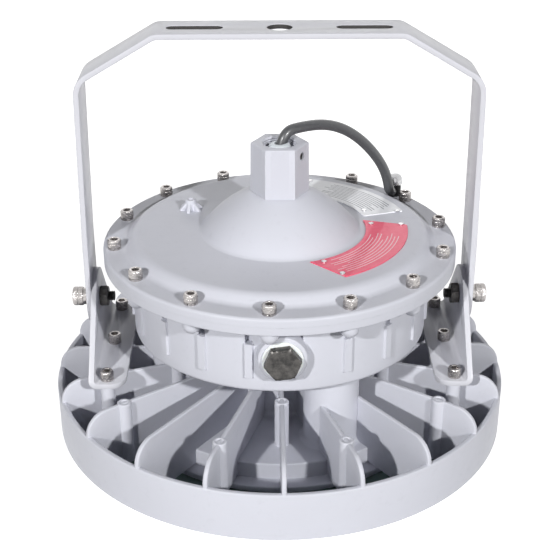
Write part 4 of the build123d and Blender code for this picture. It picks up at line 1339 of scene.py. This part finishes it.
# The studio: a pale floor, an even white surround, one small lamp each side in front, weak wide ones at the
# sides and behind, and the camera.
floor_mesh = bpy.data.meshes.new("floor")
floor_reach = 6.0
floor_corners = rectangle(-floor_reach, -floor_reach, floor_reach, floor_reach)
floor_mesh.from_pydata([(x, y, 0.0) for x, y in floor_corners], [], [(0, 1, 2, 3)])
floor = placed("floor", floor_mesh)
paper = Finish("pale_paper", roughness=0.9, base_color=(0.45, 0.45, 0.45, 1.0))
straight_rays = ("Is Camera Ray", "Is Glossy Ray", "Is Transmission Ray")
seen = paper.node("ShaderNodeLightPath").socket.node.outputs
camera_ray, glossy_ray, transmission_ray = (Wire(paper, seen[name]) for name in straight_rays)
paper.surface.inputs["Emission Color"].default_value = (1.0, 1.0, 1.0, 1.0)
glow = (camera_ray + glossy_ray + transmission_ray) * 0.9
paper.tree.links.new(glow.socket, paper.surface.inputs["Emission Strength"])
floor_mesh.materials.append(paper.material)

# Inside the ring a dark teal disc lies just above the floor. It is painted shade, so that the floor seen
# through the bays between the fins reads as deep shadow and not as pale paper.
dark_teal, teal = (0.09, 0.14, 0.13, 1.0), (0.13, 0.18, 0.17, 1.0)
painted_shade_finish = speckled("dark_sheet", dark_teal, teal, (300.0, 4.0, 0.6), roughness=0.8)
sheet_height = 0.2 * mm
sheet_outline = [(0.0, sheet_height), (ring_inner - 1 * mm, sheet_height)]
painted_shade_disc = turned("sheet_under_the_lamp", sheet_outline, painted_shade_finish)

world = bpy.data.worlds.new("studio")
world.use_nodes = True
bpy.context.scene.world = world
sky = world.node_tree
background = sky.nodes["Background"]
ray = sky.nodes.new("ShaderNodeLightPath")
straight = ray.outputs[straight_rays[0]]
for name in straight_rays[1:]:
    either = sky.nodes.new("ShaderNodeMath")
    either.operation = "MAXIMUM"
    sky.links.new(straight, either.inputs[0])
    sky.links.new(ray.outputs[name], either.inputs[1])
    straight = either.outputs[0]
strength = sky.nodes.new("ShaderNodeMapRange")
ambient = 0.015
strength.inputs["To Min"].default_value = ambient
strength.inputs["To Max"].default_value = 1.0
sky.links.new(straight, strength.inputs["Value"])
sky.links.new(strength.outputs[0], background.inputs["Strength"])
background.inputs["Color"].default_value = (1.0, 1.0, 1.0, 1.0)

for name, azimuth, elevation, power, spread in (
    ("left_key", -31.0, 27.0, 2.25, 2.5),
    ("right_key", 32.0, 27.0, 2.05, 2.5),
    ("left_fill", -85.0, 30.0, 0.06, 50.0),
    ("right_fill", 85.0, 30.0, 0.06, 50.0),
    ("back_fill", 180.0, 8.0, 0.35, 50.0),
):
    lamp = bpy.data.lights.new(name, "SUN")
    lamp.energy = power
    lamp.angle = radians(spread)
    holder = placed(name, lamp)
    aim = -(on_circle(cos(radians(elevation)), azimuth) + Vector((0.0, 0.0, sin(radians(elevation)))))
    holder.rotation_euler = aim.to_track_quat("-Z", "Y").to_euler()

camera_data = bpy.data.cameras.new("camera")
camera_data.sensor_width = 36.0
camera_data.lens = 77.97
camera = placed("camera", camera_data)
camera.location = (-14.66 * mm, -838.73 * mm, 528.5 * mm)
camera.rotation_euler = (radians(90 - 26.389), 0.0, radians(-1.017))
bpy.context.scene.camera = camera
bpy.context.scene.view_settings.view_transform = "Standard"
